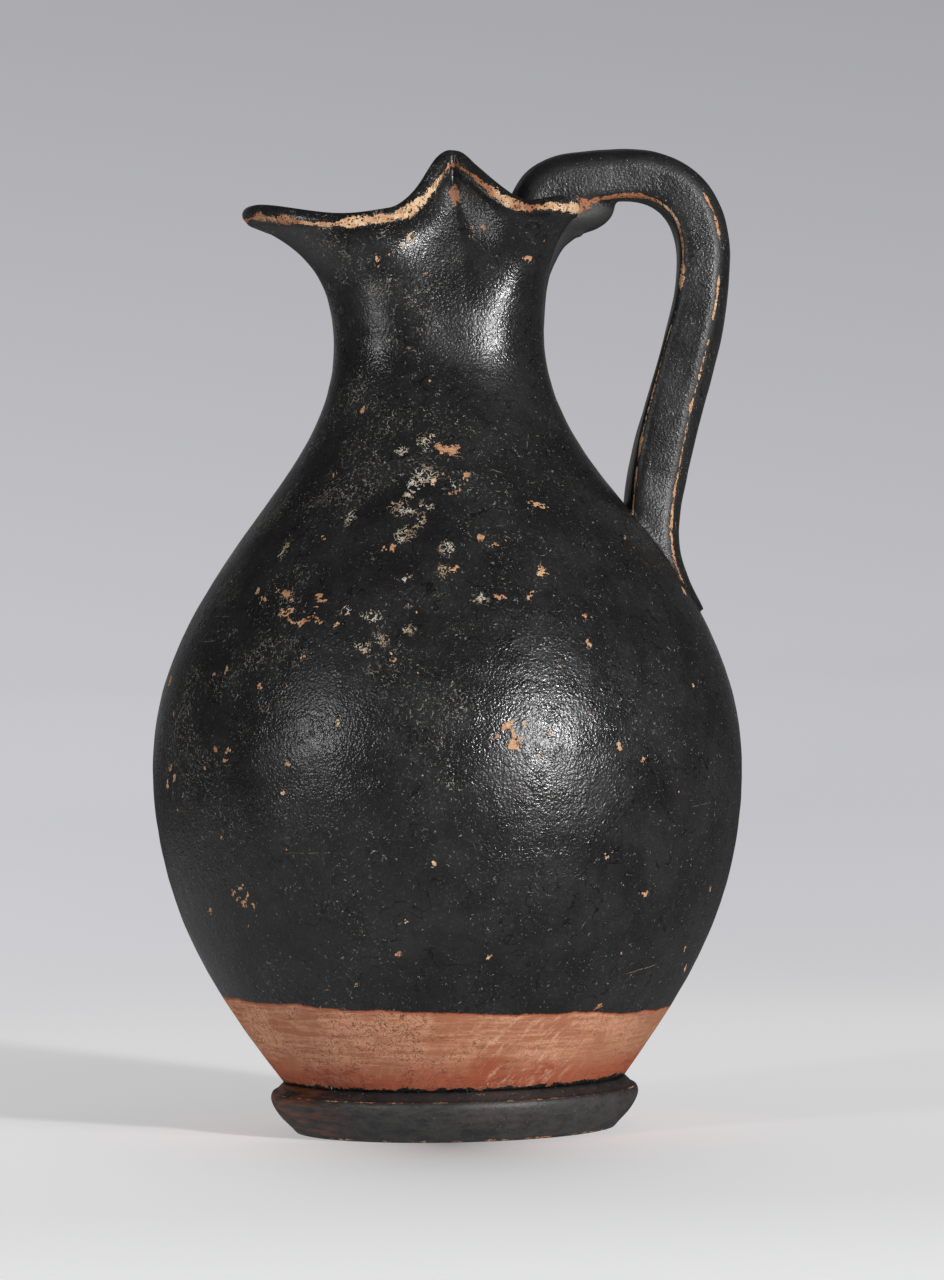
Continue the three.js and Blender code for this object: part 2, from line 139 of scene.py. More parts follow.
# The pad of clay under the strap, smeared down the neck: height, reach from the axis and half width
PAD_ROWS = (
    (190.5, 36.0, 5.5), (189.0, 36.6, 7.2), (187.6, 36.8, 8.3), (185.8, 36.3, 8.8), (184.6, 35.4, 8.8),
    (183.8, 34.4, 8.4), (183.1, 32.9, 8.0), (182.6, 31.0, 7.6), (182.0, 29.6, 7.4), (181.0, 28.1, 7.2),
    (179.8, 26.5, 7.0), (178.2, 25.2, 6.8), (176.0, 24.0, 6.5), (173.5, 22.9, 6.2), (170.5, 22.3, 5.8),
    (166.0, 21.9, 5.2), (160.0, 21.5, 4.4), (154.0, 21.4, 3.2),
)
PAD_SINK, PAD_EDGE_DEPTH = 0.9, 0.9
EDGE_ASIDE, EDGE_OUTER, EDGE_INNER = 0.93, 0.86, 0.93
# The hand's unevenness in the strap: share of the way from lip to root, and there the shift outwards
# and the side in millimetres, and the twist in degrees
STRAP_HAND_WORK = (
    (0.00, 0.9, 9.4, 3.4), (0.14, -0.4, 8.8, 3.4), (0.22, 0.2, 8.8, 3.3), (0.30, 0.1, 9.0, 3.4),
    (0.38, 0.3, 8.9, 3.3), (0.46, -0.1, 8.9, 4.3), (0.55, -0.6, 9.7, 7.4), (0.65, -0.3, 9.8, 6.1),
    (0.75, 0.0, 10.1, 1.0), (0.85, 0.1, 9.2, 0.5), (1.00, 0.8, 9.5, 0.2),
)
STRAP_RUN_OUT_HALF_SIDE = 5.8
STRAP_STATIONS, STRAP_CORNERS, CURVE_POINTS, SOFTEN_SPAN, PAD_COLUMNS = 360, 56, 200, 33, 33
PLUG_COLUMNS, PLUG_ROWS, PLUG_CLEARANCE, PLUG_UNDER_THROAT = 96, 40, 1.6, 6.0
# Heights, over the table or from the root, between which the thumbed joints run smoothly in
PAD_SMEAR, PAD_SMEAR_REACH, ROOT_SMEAR = (191.0, 188.0), 42.0, (16.0, 11.0)
SMEAR_PASSES, WORN_PASSES = 14, 2
HANDLE_WAVE, HANDLE_WAVE_LENGTH, HANDLE_WORN = 0.16, 9.0, 0.1


def smooth(value, low, high):
    share = np.clip((np.asarray(value, float) - low) / (high - low), 0.0, 1.0)
    return share * share * (3 - 2 * share)


def bezier(points, share):
    """Points of a cubic curve. Each control point may itself be an array of points."""
    a, b, c, d = (np.asarray(p, float) for p in points)
    t = np.asarray(share, float)[..., None]
    u = 1 - t
    return u**3 * a + 3 * u * u * t * b + 3 * u * t * t * c + t**3 * d


LOWER_WALL = (
    (BODY_BASE_RADIUS, BODY_BASE_HEIGHT),
    (BODY_BASE_RADIUS + BELLY_LOWER_SPREAD, BODY_BASE_HEIGHT + BELLY_LOWER_RISE),
    (BELLY_RADIUS, BELLY_HEIGHT - BELLY_LOWER_CURVE),
    (BELLY_RADIUS, BELLY_HEIGHT),
)
UPPER_WALL = (
    (BELLY_RADIUS, BELLY_HEIGHT),
    (BELLY_RADIUS, BELLY_HEIGHT + BELLY_UPPER_CURVE),
    (THROAT_RADIUS, THROAT_HEIGHT - NECK_CURVE),
    (THROAT_RADIUS, THROAT_HEIGHT),
)


def wall_radius(height):
    """Outer radius of the plain body and neck at a height."""
    shares = np.linspace(0, 1, 400)
    line = np.vstack([bezier(LOWER_WALL, shares), bezier(UPPER_WALL, shares)[1:]])
    return np.interp(height, line[:, 1], line[:, 0])


def bump(angle, centre, low_spread, high_spread):
    spread = np.where(angle < centre, low_spread, high_spread)
    return 1 - smooth(np.abs(angle - centre) / spread, 0, 1)


def mouth_controls(turn):
    """The four control points, as arrays over the turns, of the mouth's line from throat to lip."""
    near = turn <= pi
    angle = np.degrees(np.where(near, turn, 2 * pi - turn))
    pinch_at = np.where(near, NEAR_PINCH, FAR_PINCH)
    lobe_at = np.where(near, NEAR_LOBE, FAR_LOBE)
    to_pinch = smooth(angle / pinch_at, 0, 1)
    to_lobe = smooth((angle - pinch_at) / (lobe_at - pinch_at), 0, 1)
    to_back = smooth((angle - lobe_at) / (180 - lobe_at), 0, 1)
    spout = np.where(angle < pinch_at, 1 - to_pinch, 0)
    pinch = np.where(angle < pinch_at, to_pinch, 1 - to_lobe)
    lobe = np.where(angle < lobe_at, np.where(angle < pinch_at, 0, to_lobe), 1 - to_back)
    back = np.where(angle < lobe_at, 0, to_back)
    peak = PINCH_PEAK * bump(angle, pinch_at, PEAK_SPOUT_SPREAD, PEAK_HANDLE_SPREAD)
    dip = SPOUT_DIP * bump(angle, SPOUT_DIP_ANGLE, SPOUT_DIP_SPREAD, SPOUT_DIP_SPREAD)
    rim_radius = (
        spout * SPOUT_REACH + pinch * PINCH_RADIUS + lobe * SIDE_LOBE_RADIUS + back * BACK_LOBE_RADIUS
    )
    rim_rise = spout * SPOUT_RISE + pinch * PINCH_RISE + (lobe + back) * LOBE_RISE + peak - dip
    flare_radius = (
        spout * SPOUT_FLARE
        + pinch * PINCH_FLARE
        + lobe * (SIDE_LOBE_RADIUS - LOBE_FLARE_INSET)
        + back * (BACK_LOBE_RADIUS - LOBE_FLARE_INSET)
    )
    flare_rise = spout * SPOUT_FLARE_RISE + pinch * PINCH_FLARE_RISE + (lobe + back) * LOBE_FLARE_RISE
    flare_rise = flare_rise + peak / 2 - dip
    ones = np.ones_like(turn)
    return (
        np.stack([ones * THROAT_RADIUS, ones * THROAT_HEIGHT], -1),
        np.stack([ones * THROAT_RADIUS, ones * (THROAT_HEIGHT + WAIST_RISE)], -1),
        np.stack([flare_radius, THROAT_HEIGHT + flare_rise], -1),
        np.stack([rim_radius, THROAT_HEIGHT + rim_rise], -1),
    )


def neck_press(turn, height, level):
    """How far the potter's grip flattens the neck on its near and far sides."""
    angle = np.degrees(np.where(turn <= pi, turn, 2 * pi - turn))
    rising = smooth(height, SEAM_HEIGHT, THROAT_HEIGHT)
    fading = 1 - smooth(level, 0, 1)
    around = bump(angle, NECK_PRESS_ANGLE, NECK_PRESS_SPREAD, NECK_PRESS_SPREAD)
    return NECK_PRESS * rising * fading * around


def rim_corner_drop(turn):
    """How far the lip's worn lower corner lies under the rolled edge."""
    near = turn <= pi
    angle = np.degrees(np.where(near, turn, 2 * pi - turn))
    pinch_at = np.where(near, NEAR_PINCH, FAR_PINCH)
    around = bump(angle, pinch_at, DROP_SPOUT_SPREAD, DROP_HANDLE_SPREAD)
    return RIM_CORNER_DROP + PINCH_CORNER_DROP * around


def ring(radius, height, turn):
    """Points round the axis. The turn runs from the spout by way of the near side."""
    return np.stack([-radius * np.cos(turn), -radius * np.sin(turn), height], -1)


def outer_radius(angle, height):
    """Outer radius of the wall at degrees round from the near side towards the handle."""
    if height <= THROAT_HEIGHT:
        return float(wall_radius(height))
    turn = np.array([radians(90 + angle) % (2 * pi)])
    levels = np.linspace(0, 1, 80)
    line = np.array([bezier(mouth_controls(turn), np.array([level]))[0] for level in levels])
    line[:, 0] -= [neck_press(turn, z, level)[0] for z, level in zip(line[:, 1], levels)]
    return float(np.interp(height, line[:, 1], line[:, 0]))


def outward(rows):
    """Outward normals of a grid of points, closed round and open along."""
    up = np.gradient(rows, axis=0)
    around = np.roll(rows, -1, axis=1) - np.roll(rows, 1, axis=1)
    normal = np.cross(around, up)
    return normal / np.linalg.norm(normal, axis=2, keepdims=True)


def hand_made(points):
    """Moves the points in and out, as on a pot turned by hand."""
    moved = points.copy()
    for i, (x, y, z) in enumerate(points):
        slow = noise.fractal(Vector((x, y, z)) / HAND_WAVE_LENGTH, 1.0, 2.0, 2)
        rings = noise.noise(Vector((atan2(y, x) * 0.7, 5.0, z / WHEEL_RING_GAP)))
        radius = max((x * x + y * y) ** 0.5, 1.0)
        push = (HAND_WAVE * slow + WHEEL_RING * rings) * min(radius / 20.0, 1.0)
        moved[i, 0] += push * x / radius
        moved[i, 1] += push * y / radius
    return moved


def make_object(name, points, faces):
    """A mesh object at the origin, smooth shaded, from points in millimetres."""
    mesh = bpy.data.meshes.new(name)
    mesh.from_pydata([tuple(p) for p in np.asarray(points) * MM], [], faces)
    mesh.update()
    mesh.polygons.foreach_set("use_smooth", [True] * len(mesh.polygons))
    made = bpy.data.objects.new(name, mesh)
    bpy.context.collection.objects.link(made)
    return made


def grid_faces(rows, around, start=0, closed_along=False):
    faces = []
    for i in range(rows if closed_along else rows - 1):
        here, there = start + i * around, start + ((i + 1) % rows) * around
        for j in range(around):
            k = (j + 1) % around
            faces.append((here + j, here + k, there + k, there + j))
    return faces


def closed_tube(name, rows):
    """A tube through rows of points, with its two ends closed."""
    rows = np.array(rows)
    around = rows.shape[1]
    faces = grid_faces(len(rows), around)
    faces.append(tuple(range(around - 1, -1, -1)))
    faces.append(tuple((len(rows) - 1) * around + j for j in range(around)))
    return make_object(name, rows.reshape(-1, 3), faces)


def store(made, name, values):
    """Keeps a number for each point, for a material that follows the surface."""
    layer = made.data.attributes.new(name, "FLOAT", "POINT")
    layer.data.foreach_set("value", np.asarray(values, np.float32))


def wall_outside(turn):
    """Rows of points up the outside, which row is the throat's, and how far up the mouth the rest lie."""
    ones = np.ones_like(turn)
    rows = []
    for share in np.linspace(0, 1, LOWER_ROWS):
        r, z = bezier(LOWER_WALL, share)
        rows.append(ring(r * ones, z * ones, turn))
    for share in np.linspace(0, 1, UPPER_ROWS)[1:]:
        r, z = bezier(UPPER_WALL, share)
        rows.append(ring(r - neck_press(turn, z, 0.0), z * ones, turn))
    throat_row = len(rows) - 1
    controls = mouth_controls(turn)
    levels = 1 - (1 - np.linspace(0, 1, MOUTH_ROWS)[1:]) ** 1.5
    for level in levels:
        line = bezier(controls, level * ones)
        rows.append(ring(line[:, 0] - neck_press(turn, line[:, 1], level), line[:, 1], turn))
    return np.array(rows), throat_row, levels


def rolled_lip(outside, normals):
    """The lip: half round, a little rolled outwards."""
    up = outside[-1] - outside[-2]
    up /= np.linalg.norm(up, axis=1, keepdims=True)
    middle = outside[-1] - normals[-1] * LIP_THICKNESS / 2
    lip = []
    for i in range(1, LIP_ROWS):
        bend = pi * i / LIP_ROWS
        lip.append(middle + (normals[-1] * cos(bend) + up * sin(bend)) * LIP_THICKNESS / 2)
    return np.array(lip)


def press_creases(outside, lip, normals, turn, throat_row, levels):
    """Presses a crease down the outside and the lip at each pinch, where the clay folded."""
    creased = outside.copy()
    for pinch in (radians(NEAR_PINCH), 2 * pi - radians(FAR_PINCH)):
        aside = (turn - pinch) * PINCH_RADIUS
        valley = np.exp(-((aside / CREASE_HALF_WIDTH) ** 2))
        depth = np.zeros(len(outside))
        depth[throat_row + 1 :] = CREASE_DEPTH * smooth(levels, *CREASE_LEVELS)
        creased -= normals * (depth[:, None] * valley[None, :])[..., None]
        for i in range(LIP_ROWS - 1):
            share = 0.5 + 0.5 * cos(pi * (i + 1) / LIP_ROWS)
            lip[i] -= normals[-1] * (CREASE_DEPTH * share * valley)[:, None]
    return creased


def floor_inside(corner, turn):
    """Rows of points from the inner corner over the floor to near its middle."""
    ones = np.ones_like(turn)
    radius, height = np.hypot(corner[:, 0], corner[:, 1]).mean(), corner[:, 2].mean()
    line = (
        (radius, height),
        (radius - FLOOR_CORNER_IN, height - FLOOR_CORNER_DOWN),
        (FLOOR_REACH, FLOOR_TOP),
        (FLOOR_MIDDLE, FLOOR_TOP),
    )
    rows = []
    for share in np.linspace(0, 1, FLOOR_ROWS):
        r, z = bezier(line, share)
        rows.append(ring(r * ones, z * ones, turn))
    return rows


def vessel_wall():
    """Body, neck and mouth as one thrown wall: under side, outside, lip, inside and floor."""
    turn = 2 * pi * np.arange(WALL_COLUMNS) / WALL_COLUMNS
    ones = np.ones_like(turn)
    bulge_height = BODY_BASE_HEIGHT - UNDER_BULGE_DEPTH
    under = [
        (UNDER_BULGE_FROM, bulge_height),
        (UNDER_BULGE_TO, bulge_height),
        (UNDER_BULGE_RADIUS, bulge_height + 0.1),
        (UNDER_BORE_RADIUS - 3, BODY_BASE_HEIGHT - 1.5),
        (UNDER_BORE_RADIUS, BODY_BASE_HEIGHT - 0.1),
        (BODY_BASE_RADIUS - UNDER_RIM_WIDTH, BODY_BASE_HEIGHT),
    ]
    outside, throat_row, levels = wall_outside(turn)
    normals = outward(outside)
    rows = len(outside)
    thickness = np.full(rows, WALL_THICKNESS)
    thickness[throat_row + 1 :] = WALL_THICKNESS + (LIP_THICKNESS - WALL_THICKNESS) * levels

    def inner(index):
        return outside[index] - normals[index] * thickness[index]

    lip = rolled_lip(outside, normals)
    creased = press_creases(outside, lip, normals, turn, throat_row, levels)

    # The lip's lower corner stands a little proud
    corner_drop = rim_corner_drop(turn)
    to_lip = np.linalg.norm(outside[-1] - outside[throat_row:], axis=2)
    ridge = RIM_CORNER_PROUD * np.exp(-(((to_lip - corner_drop) / RIM_CORNER_WIDTH) ** 2))
    creased[throat_row:] += normals[throat_row:] * ridge[..., None]

    inside = [inner(i) for i in range(rows - 1, throat_row, -2)]
    floor_start = int(np.argmin(np.abs(outside[:LOWER_ROWS, 0, 2] - (FLOOR_TOP + FLOOR_ROUNDING))))
    inside += [inner(i) for i in range(throat_row, floor_start, -2)]
    floor = floor_inside(inner(floor_start), turn)

    grid = [ring(r * ones, z * ones, turn) for r, z in under]
    first_outside = len(grid)
    grid += list(creased) + list(lip) + inside + floor
    grid = np.array(grid)
    total_rows = len(grid)
    points = hand_made(grid.reshape(-1, 3))
    swell = np.exp(-(((points[:, 2] - ROOT_HEIGHT + ROOT_SWELL_DROP) / ROOT_SWELL_HEIGHT) ** 2))
    swell *= np.exp(-((points[:, 1] / ROOT_SWELL_WIDTH) ** 2)) * (points[:, 0] > 0) * ROOT_SWELL
    swell[(first_outside + rows) * WALL_COLUMNS :] = 0
    points[:, 0] += swell
    bottom, top = len(points), len(points) + 1
    points = np.vstack([points, [0, 0, bulge_height], [0, 0, FLOOR_TOP]])
    faces = grid_faces(total_rows, WALL_COLUMNS)
    last = (total_rows - 1) * WALL_COLUMNS
    for j in range(WALL_COLUMNS):
        k = (j + 1) % WALL_COLUMNS
        faces.append((bottom, k, j))
        faces.append((top, last + j, last + k))
    made = make_object("vessel_wall", points, faces)

    # Distance along the wall from the lip's worn corner, and which rows are inside
    steps = np.linalg.norm(np.diff(grid, axis=0), axis=2)
    along = np.vstack([np.zeros(WALL_COLUMNS), np.cumsum(steps, axis=0)])
    corner_row = first_outside + rows + 2
    far = LIP_DISTANCE_KEPT
    lip_distance = np.clip(along - along[corner_row] + corner_drop, -far, far)
    store(made, "lip_distance", list(lip_distance.reshape(-1)) + [-far, far])
    is_inside = np.zeros((total_rows, WALL_COLUMNS))
    is_inside[first_outside + rows + LIP_ROWS - 1 :] = 1
    store(made, "inside", list(is_inside.reshape(-1)) + [0, 1])
    return made


def foot_ring():
    """The turned foot: a flaring ring with a rounded brow, a fine groove and a sloping ledge."""
    turn = 2 * pi * np.arange(FOOT_COLUMNS) / FOOT_COLUMNS
    line = np.array(FOOT_OUTLINE, float)
    fine = [line[0]]
    for a, b in zip(line[:-1], line[1:]):
        pieces = max(1, int(np.linalg.norm(b - a) / FOOT_STEP))
        fine += [a + (b - a) * i / pieces for i in range(1, pieces + 1)]
    grid = []
    for r, z in fine:
        wave = np.array([
            FOOT_WAVE * noise.noise(Vector((cos(a) * 1.6, sin(a) * 1.6, z / 5))) for a in turn
        ])
        height = z + (FOOT_LEDGE_WAVE * np.sin(turn * 2 + 1) if z > FOOT_LEDGE else 0 * turn)
        grid.append(ring(r + wave * (r > 26), np.clip(height, 0, None), turn))
    grid = np.array(grid)
    faces = grid_faces(len(grid), FOOT_COLUMNS, closed_along=True)
    return make_object("foot_ring", grid.reshape(-1, 3), faces)


def soften(values):
    """A moving average, so that a row of set values runs smoothly."""
    weights = np.hanning(SOFTEN_SPAN)
    padded = np.pad(values, SOFTEN_SPAN // 2, mode="edge")
    return np.convolve(padded, weights / weights.sum(), mode="valid")


def outward_of(line):
    along = np.gradient(line, axis=0)
    along /= np.linalg.norm(along, axis=1, keepdims=True)
    return np.stack([-along[:, 1], along[:, 0]], -1)


def strap_stations():
    """The strap at even steps: middle line, outward directions, share of the way, half side, twist."""
    inner_back = BACK_LOBE_RADIUS - LOBE_FLARE_INSET - LIP_THICKNESS
    end_height = THROAT_HEIGHT + LOBE_RISE - STRAP_END_DEPTH
    end = (inner_back - STRAP_END_SIDE / 2 + STRAP_END_PRESS, end_height)
    crown = (ARCH_REACH - ARCH_CROWN_LENGTH, THROAT_HEIGHT + ARCH_TOP_RISE)
    elbow = (ARCH_REACH, crown[1] - ARCH_ELBOW_DROP)
    root = (float(wall_radius(ROOT_HEIGHT)) - STRAP_ROOT_SINK, ROOT_HEIGHT)
    run_height = ROOT_HEIGHT - STRAP_RUN_OUT
    run_depth = STRAP_RUN_OUT_HALF_SIDE + STRAP_RUN_OUT_SINK
    run_out = (float(wall_radius(run_height)) - run_depth, run_height)
    third = STRAP_RUN_OUT / 3
    pieces = (
        (end, (end[0], end[1] + STRAP_END_CLIMB), (crown[0] - ARCH_TURN, crown[1]), crown),
        (crown, (crown[0] + ARCH_TURN, crown[1]), (elbow[0], elbow[1] + ARCH_TURN), elbow),
        (elbow, (elbow[0], elbow[1] - ARCH_SWING), (root[0], root[1] + ARCH_SWING), root),
        (root, (root[0], root[1] - third), ((root[0] + run_out[0]) / 2, run_height + third), run_out),
    )
    parts = [bezier(piece, np.linspace(0, 1, CURVE_POINTS)) for piece in pieces]
    line = np.vstack([parts[0]] + [part[1:] for part in parts[1:]])
    length = np.concatenate([[0], np.cumsum(np.linalg.norm(np.diff(line, axis=0), axis=1))])
    even = np.linspace(0, length[-1], STRAP_STATIONS)
    x, z = np.interp(even, length, line[:, 0]), np.interp(even, length, line[:, 1])
    share = even / length[-1]
    places, shifts, sides, twists = np.array(STRAP_HAND_WORK).T
    by_hand = (soften(np.interp(share, places, row)) for row in (shifts, sides, twists))
    shift, side, twist = by_hand
    line = np.stack([x, z], -1)
    line = line + outward_of(line) * shift[:, None]
    side = STRAP_END_SIDE + (side - STRAP_END_SIDE) * smooth(share, 0, STRAP_END_SHARE)
    return line, outward_of(line), share, side / 2, np.radians(twist)


def half_width(share):
    spreading = smooth(share, STRAP_SPREAD_FROM, STRAP_SPREAD_TO)
    return STRAP_WIDTH / 2 * (1 + (STRAP_ROOT_SPREAD - 1) * spreading)


def strap_mesh():
    line, out, share, half_side, twist = strap_stations()
    angle = 2 * pi * np.arange(STRAP_CORNERS) / STRAP_CORNERS
    across = np.sign(np.cos(angle)) * np.abs(np.cos(angle)) ** (2 / STRAP_CORNER_POWER)
    deep = np.sign(np.sin(angle)) * np.abs(np.sin(angle)) ** (2 / STRAP_CORNER_POWER)
    crown = np.where(np.sin(angle) > 0, STRAP_OUTER_CROWN, -STRAP_INNER_CROWN) * (1 - across**2)
    rows = []
    for i in range(len(line)):
        depth = deep * half_side[i] + crown
        aside = -across * half_width(share[i])
        turned = depth * cos(twist[i]) + aside * sin(twist[i])
        aside = aside * cos(twist[i]) - depth * sin(twist[i])
        x, z = line[i, 0] + out[i, 0] * turned, line[i, 1] + out[i, 1] * turned
        rows.append(np.stack([x, aside, z], -1))
    return closed_tube("strap", rows)


def smeared_pad():
    """The pad under the strap's inner end, and its smear down the back of the neck."""
    across = np.sin(np.linspace(-pi / 2, pi / 2, PAD_COLUMNS))
    swell = (1 - np.abs(across) ** 3) ** 0.6
    rows = []
    for height, reach, half in PAD_ROWS:
        wall = np.sqrt(outer_radius(90, height) ** 2 - (half * across) ** 2) - PAD_SINK
        front = wall + (reach - wall) * swell
        level = np.full(PAD_COLUMNS, height)
        outer = np.stack([front, half * across, level], -1)
        inner = np.stack([wall - PAD_EDGE_DEPTH, half * across, level], -1)
        rows.append(np.vstack([outer, inner[::-1]]))
    return closed_tube("pad", rows[::-1])


def lump(name, centre, size, tilt):
    """A worked lump of clay, from a sphere pressed and tilted about the Y axis."""
    bpy.ops.mesh.primitive_uv_sphere_add(segments=48, ring_count=24, radius=0.5)
    made = bpy.context.object
    made.name = name
    place = Matrix.Translation(Vector(centre) * MM) @ Matrix.Rotation(tilt, 4, "Y")
    made.data.transform(place @ Matrix.Diagonal((*(Vector(size) * MM), 1)))
    return made


def apply_modifiers(made):
    bpy.context.view_layer.update()
    mesh = bpy.data.meshes.new_from_object(made.evaluated_get(bpy.context.evaluated_depsgraph_get()))
    made.modifiers.clear()
    made.data = mesh
    mesh.polygons.foreach_set("use_smooth", [True] * len(mesh.polygons))


def body_plug():
    """The space inside the wall, up to the throat, that the handle may not reach into."""
    turn = 2 * pi * np.arange(PLUG_COLUMNS) / PLUG_COLUMNS
    ones = np.ones_like(turn)
    heights = np.linspace(BELLY_HEIGHT, THROAT_HEIGHT - PLUG_UNDER_THROAT, PLUG_ROWS)
    rows = [ring((wall_radius(z) - PLUG_CLEARANCE) * ones, z * ones, turn) for z in heights]
    return closed_tube("body_plug", rows)


def blend_clay(strap):
    """Smears the lumps into the strap, as a thumb would."""
    group = strap.vertex_groups.new(name="smeared")
    for vertex in strap.data.vertices:
        x, z = vertex.co.x / MM, vertex.co.z / MM
        near_pad = smooth(z, *PAD_SMEAR) if z > THROAT_HEIGHT and x < PAD_SMEAR_REACH else 0.0
        weight = max(float(near_pad), float(smooth(abs(z - ROOT_HEIGHT), *ROOT_SMEAR)))
        if weight > 0:
            group.add([vertex.index], weight, "REPLACE")
    blend = strap.modifiers.new("smear", "SMOOTH")
    blend.factor, blend.iterations, blend.vertex_group = 0.5, SMEAR_PASSES, "smeared"
    apply_modifiers(strap)


def handle():
    """Strap, thumbed pad and smeared root, worked into one piece of clay."""
    strap = strap_mesh()
    slope = float(wall_radius(ROOT_HEIGHT + 0.5) - wall_radius(ROOT_HEIGHT - 0.5))
    tilt = atan2(1.0, -slope)
    root_reach = float(wall_radius(ROOT_HEIGHT)) - ROOT_CLAY_SINK * sin(tilt)
    root = (root_reach, 0, ROOT_HEIGHT - ROOT_CLAY_SINK * cos(tilt))
    lumps = [
        smeared_pad(),
        lump("pad_nub", NUB_CENTRE, NUB_SIZE, 0),
        lump("root", root, ROOT_CLAY_SIZE, tilt),
    ]
    plug = body_plug()
    for cutter in lumps:
        join = strap.modifiers.new("join_" + cutter.name, "BOOLEAN")
        join.operation, join.solver, join.object = "UNION", "EXACT", cutter
    cut = strap.modifiers.new("clear_of_the_inside", "BOOLEAN")
    cut.operation, cut.solver, cut.object = "DIFFERENCE", "EXACT", plug
    remesh = strap.modifiers.new("clay", "REMESH")
    remesh.mode, remesh.voxel_size = "VOXEL", HANDLE_VOXEL * MM
    rubbed = strap.modifiers.new("worn_soft", "SMOOTH")
    rubbed.factor, rubbed.iterations = 0.5, WORN_PASSES
    apply_modifiers(strap)
    blend_clay(strap)
    for helper in lumps + [plug]:
        bpy.data.objects.remove(helper)
    strap.name = "handle"
    mesh = strap.data
    points = of_vertices(mesh, "co").astype(float) / MM
    uneven = np.array([noise.fractal(Vector(p) / HANDLE_WAVE_LENGTH, 1.0, 2.0, 2) for p in points])
    points += of_vertices(mesh, "normal") * (HANDLE_WAVE * uneven - HANDLE_WORN)[:, None]
    mesh.vertices.foreach_set("co", (points * MM).astype(np.float32).reshape(-1))
    store_edges(strap, points)
    return strap


def of_vertices(mesh, what):
    values = np.zeros(len(mesh.vertices) * 3, np.float32)
    mesh.vertices.foreach_get(what, values)
    return values.reshape(-1, 3)


def store_edges(strap, points):
    """Keeps the distance from the nearest of the strap's four long edges, and the way along it."""
    line, out, share, half_side, twist = strap_stations()
    flat = points[:, (0, 2)]
    nearest = np.concatenate([
        np.argmin(((chunk[:, None, :] - line[None, :, :]) ** 2).sum(2), axis=1)
        for chunk in np.array_split(flat, 40)
    ])
    turned = ((flat - line[nearest]) * out[nearest]).sum(1)
    bend = twist[nearest]
    depth = turned * np.cos(bend) - points[:, 1] * np.sin(bend)
    aside = np.abs(turned * np.sin(bend) + points[:, 1] * np.cos(bend))
    aside = aside - half_width(share[nearest]) * EDGE_ASIDE
    corner = half_side[nearest] * np.where(depth > 0, EDGE_OUTER, EDGE_INNER)
    edge = np.abs(aside - (np.abs(depth) - corner)) / 2**0.5
    store(strap, "edge_distance", edge)
    store(strap, "strap_share", share[nearest])
    store(strap, "outer_face", smooth(depth, -1.0, 1.0))


# Finishes
GLOSS_LEVEL, GLOSS_LEVEL_GRAZING = 0.55, 0.06
HANDLE_DULLER, HANDLE_EDGE_DULLER = 0.075, 0.26

# Relief of the glaze in millimetres, and how many waves of each pattern go to a millimetre
GRAIN_FINE, GRAIN_CRINKLE, GRAIN_SWELL, GRAIN_WHEEL = 0.115, 0.26, 0.07, 0.03
FINE_SCALE, CRINKLE_SCALE, SWELL_SCALE, WHEEL_SCALE = 1.9, 1.1, 0.3, 0.8
CLUSTER_SCALE, DOT_SCALE, CURL_SCALE, HAZE_SCALE = 0.055, 1.1, 0.9, 0.08
CRACK_SCALE, CRACK_WANDER_SCALE, CRACK_WANDER = 0.11, 0.17, 11.0
CHIP_TEAR_SCALE, CHIP_TEAR, SHARD_SCALE, SHARD_REACH = 0.9, 1.3, 1.5, 0.75
GLAZE_ROUGH_CLEAR, GLAZE_ROUGH_HAZY, SPECK_ROUGHER = 0.235, 0.325, 0.35
CLAY_ROUGH, BAND_ROUGH, WORN_ROUGH = 0.8, 0.75, 0.75
CHIP_DEPTH, LIP_WEAR_DEPTH, EDGE_WEAR_DEPTH = 0.22, 0.10, 0.12

GLOSS_BLACK = (0.0095, 0.0095, 0.0099, 1)
GLOSS_GREY = (0.0210, 0.0210, 0.0217, 1)
# Light grey of the lower foot: dust, and partly a painted reflection of the floor
FOOT_GREY = (0.058, 0.056, 0.054, 1)
PAD_GREY = (0.040, 0.039, 0.038, 1)
SPECK_WHITE = (0.34, 0.315, 0.275, 1)
CRUST_WHITE = (0.58, 0.52, 0.43, 1)
CRUST_TAN = (0.38, 0.27, 0.16, 1)
CRACK_BLACK = (0.004, 0.004, 0.004, 1)
CHIP_PALE = (0.74, 0.51, 0.31, 1)
CHIP_BUFF = (0.57, 0.315, 0.165, 1)
CHIP_ORANGE = (0.36, 0.135, 0.06, 1)
CHIP_DARK = (0.16, 0.065, 0.032, 1)
FOLD_CLAY = (0.29, 0.135, 0.075, 1)
SCRATCH_TAN = (0.26, 0.20, 0.15, 1)

# Chips of more than DEEP_CHIP square millimetres show their depth
DEEP_CHIP, STREWN_SCALE = 2.3, 0.11
# Zones: heights or radii between which one surface gives way to the next
JOINT_GLAZE, UNDER_BODY, UNDER_BODY_RADIUS = (11.05, 10.85), (10.45, 10.35), (34.4, 34.2)
INNER_GLAZE_ENDS, CRINKLED_BELOW, DUSTY_ABOVE = (150.5, 149.5), (140.0, 118.0), (60.0, 85.0)
PAD_BOTTOM, PAD_TOP, PAD_REACH = (150.0, 158.0), (188.0, 186.6), (38.6, 37.6)
FOOT_DUST_AND_SHEEN_BELOW, FOOT_BORE, FOOT_BORE_TOP = (8.7, 7.6), (32.4, 32.1), (9.9, 9.7)

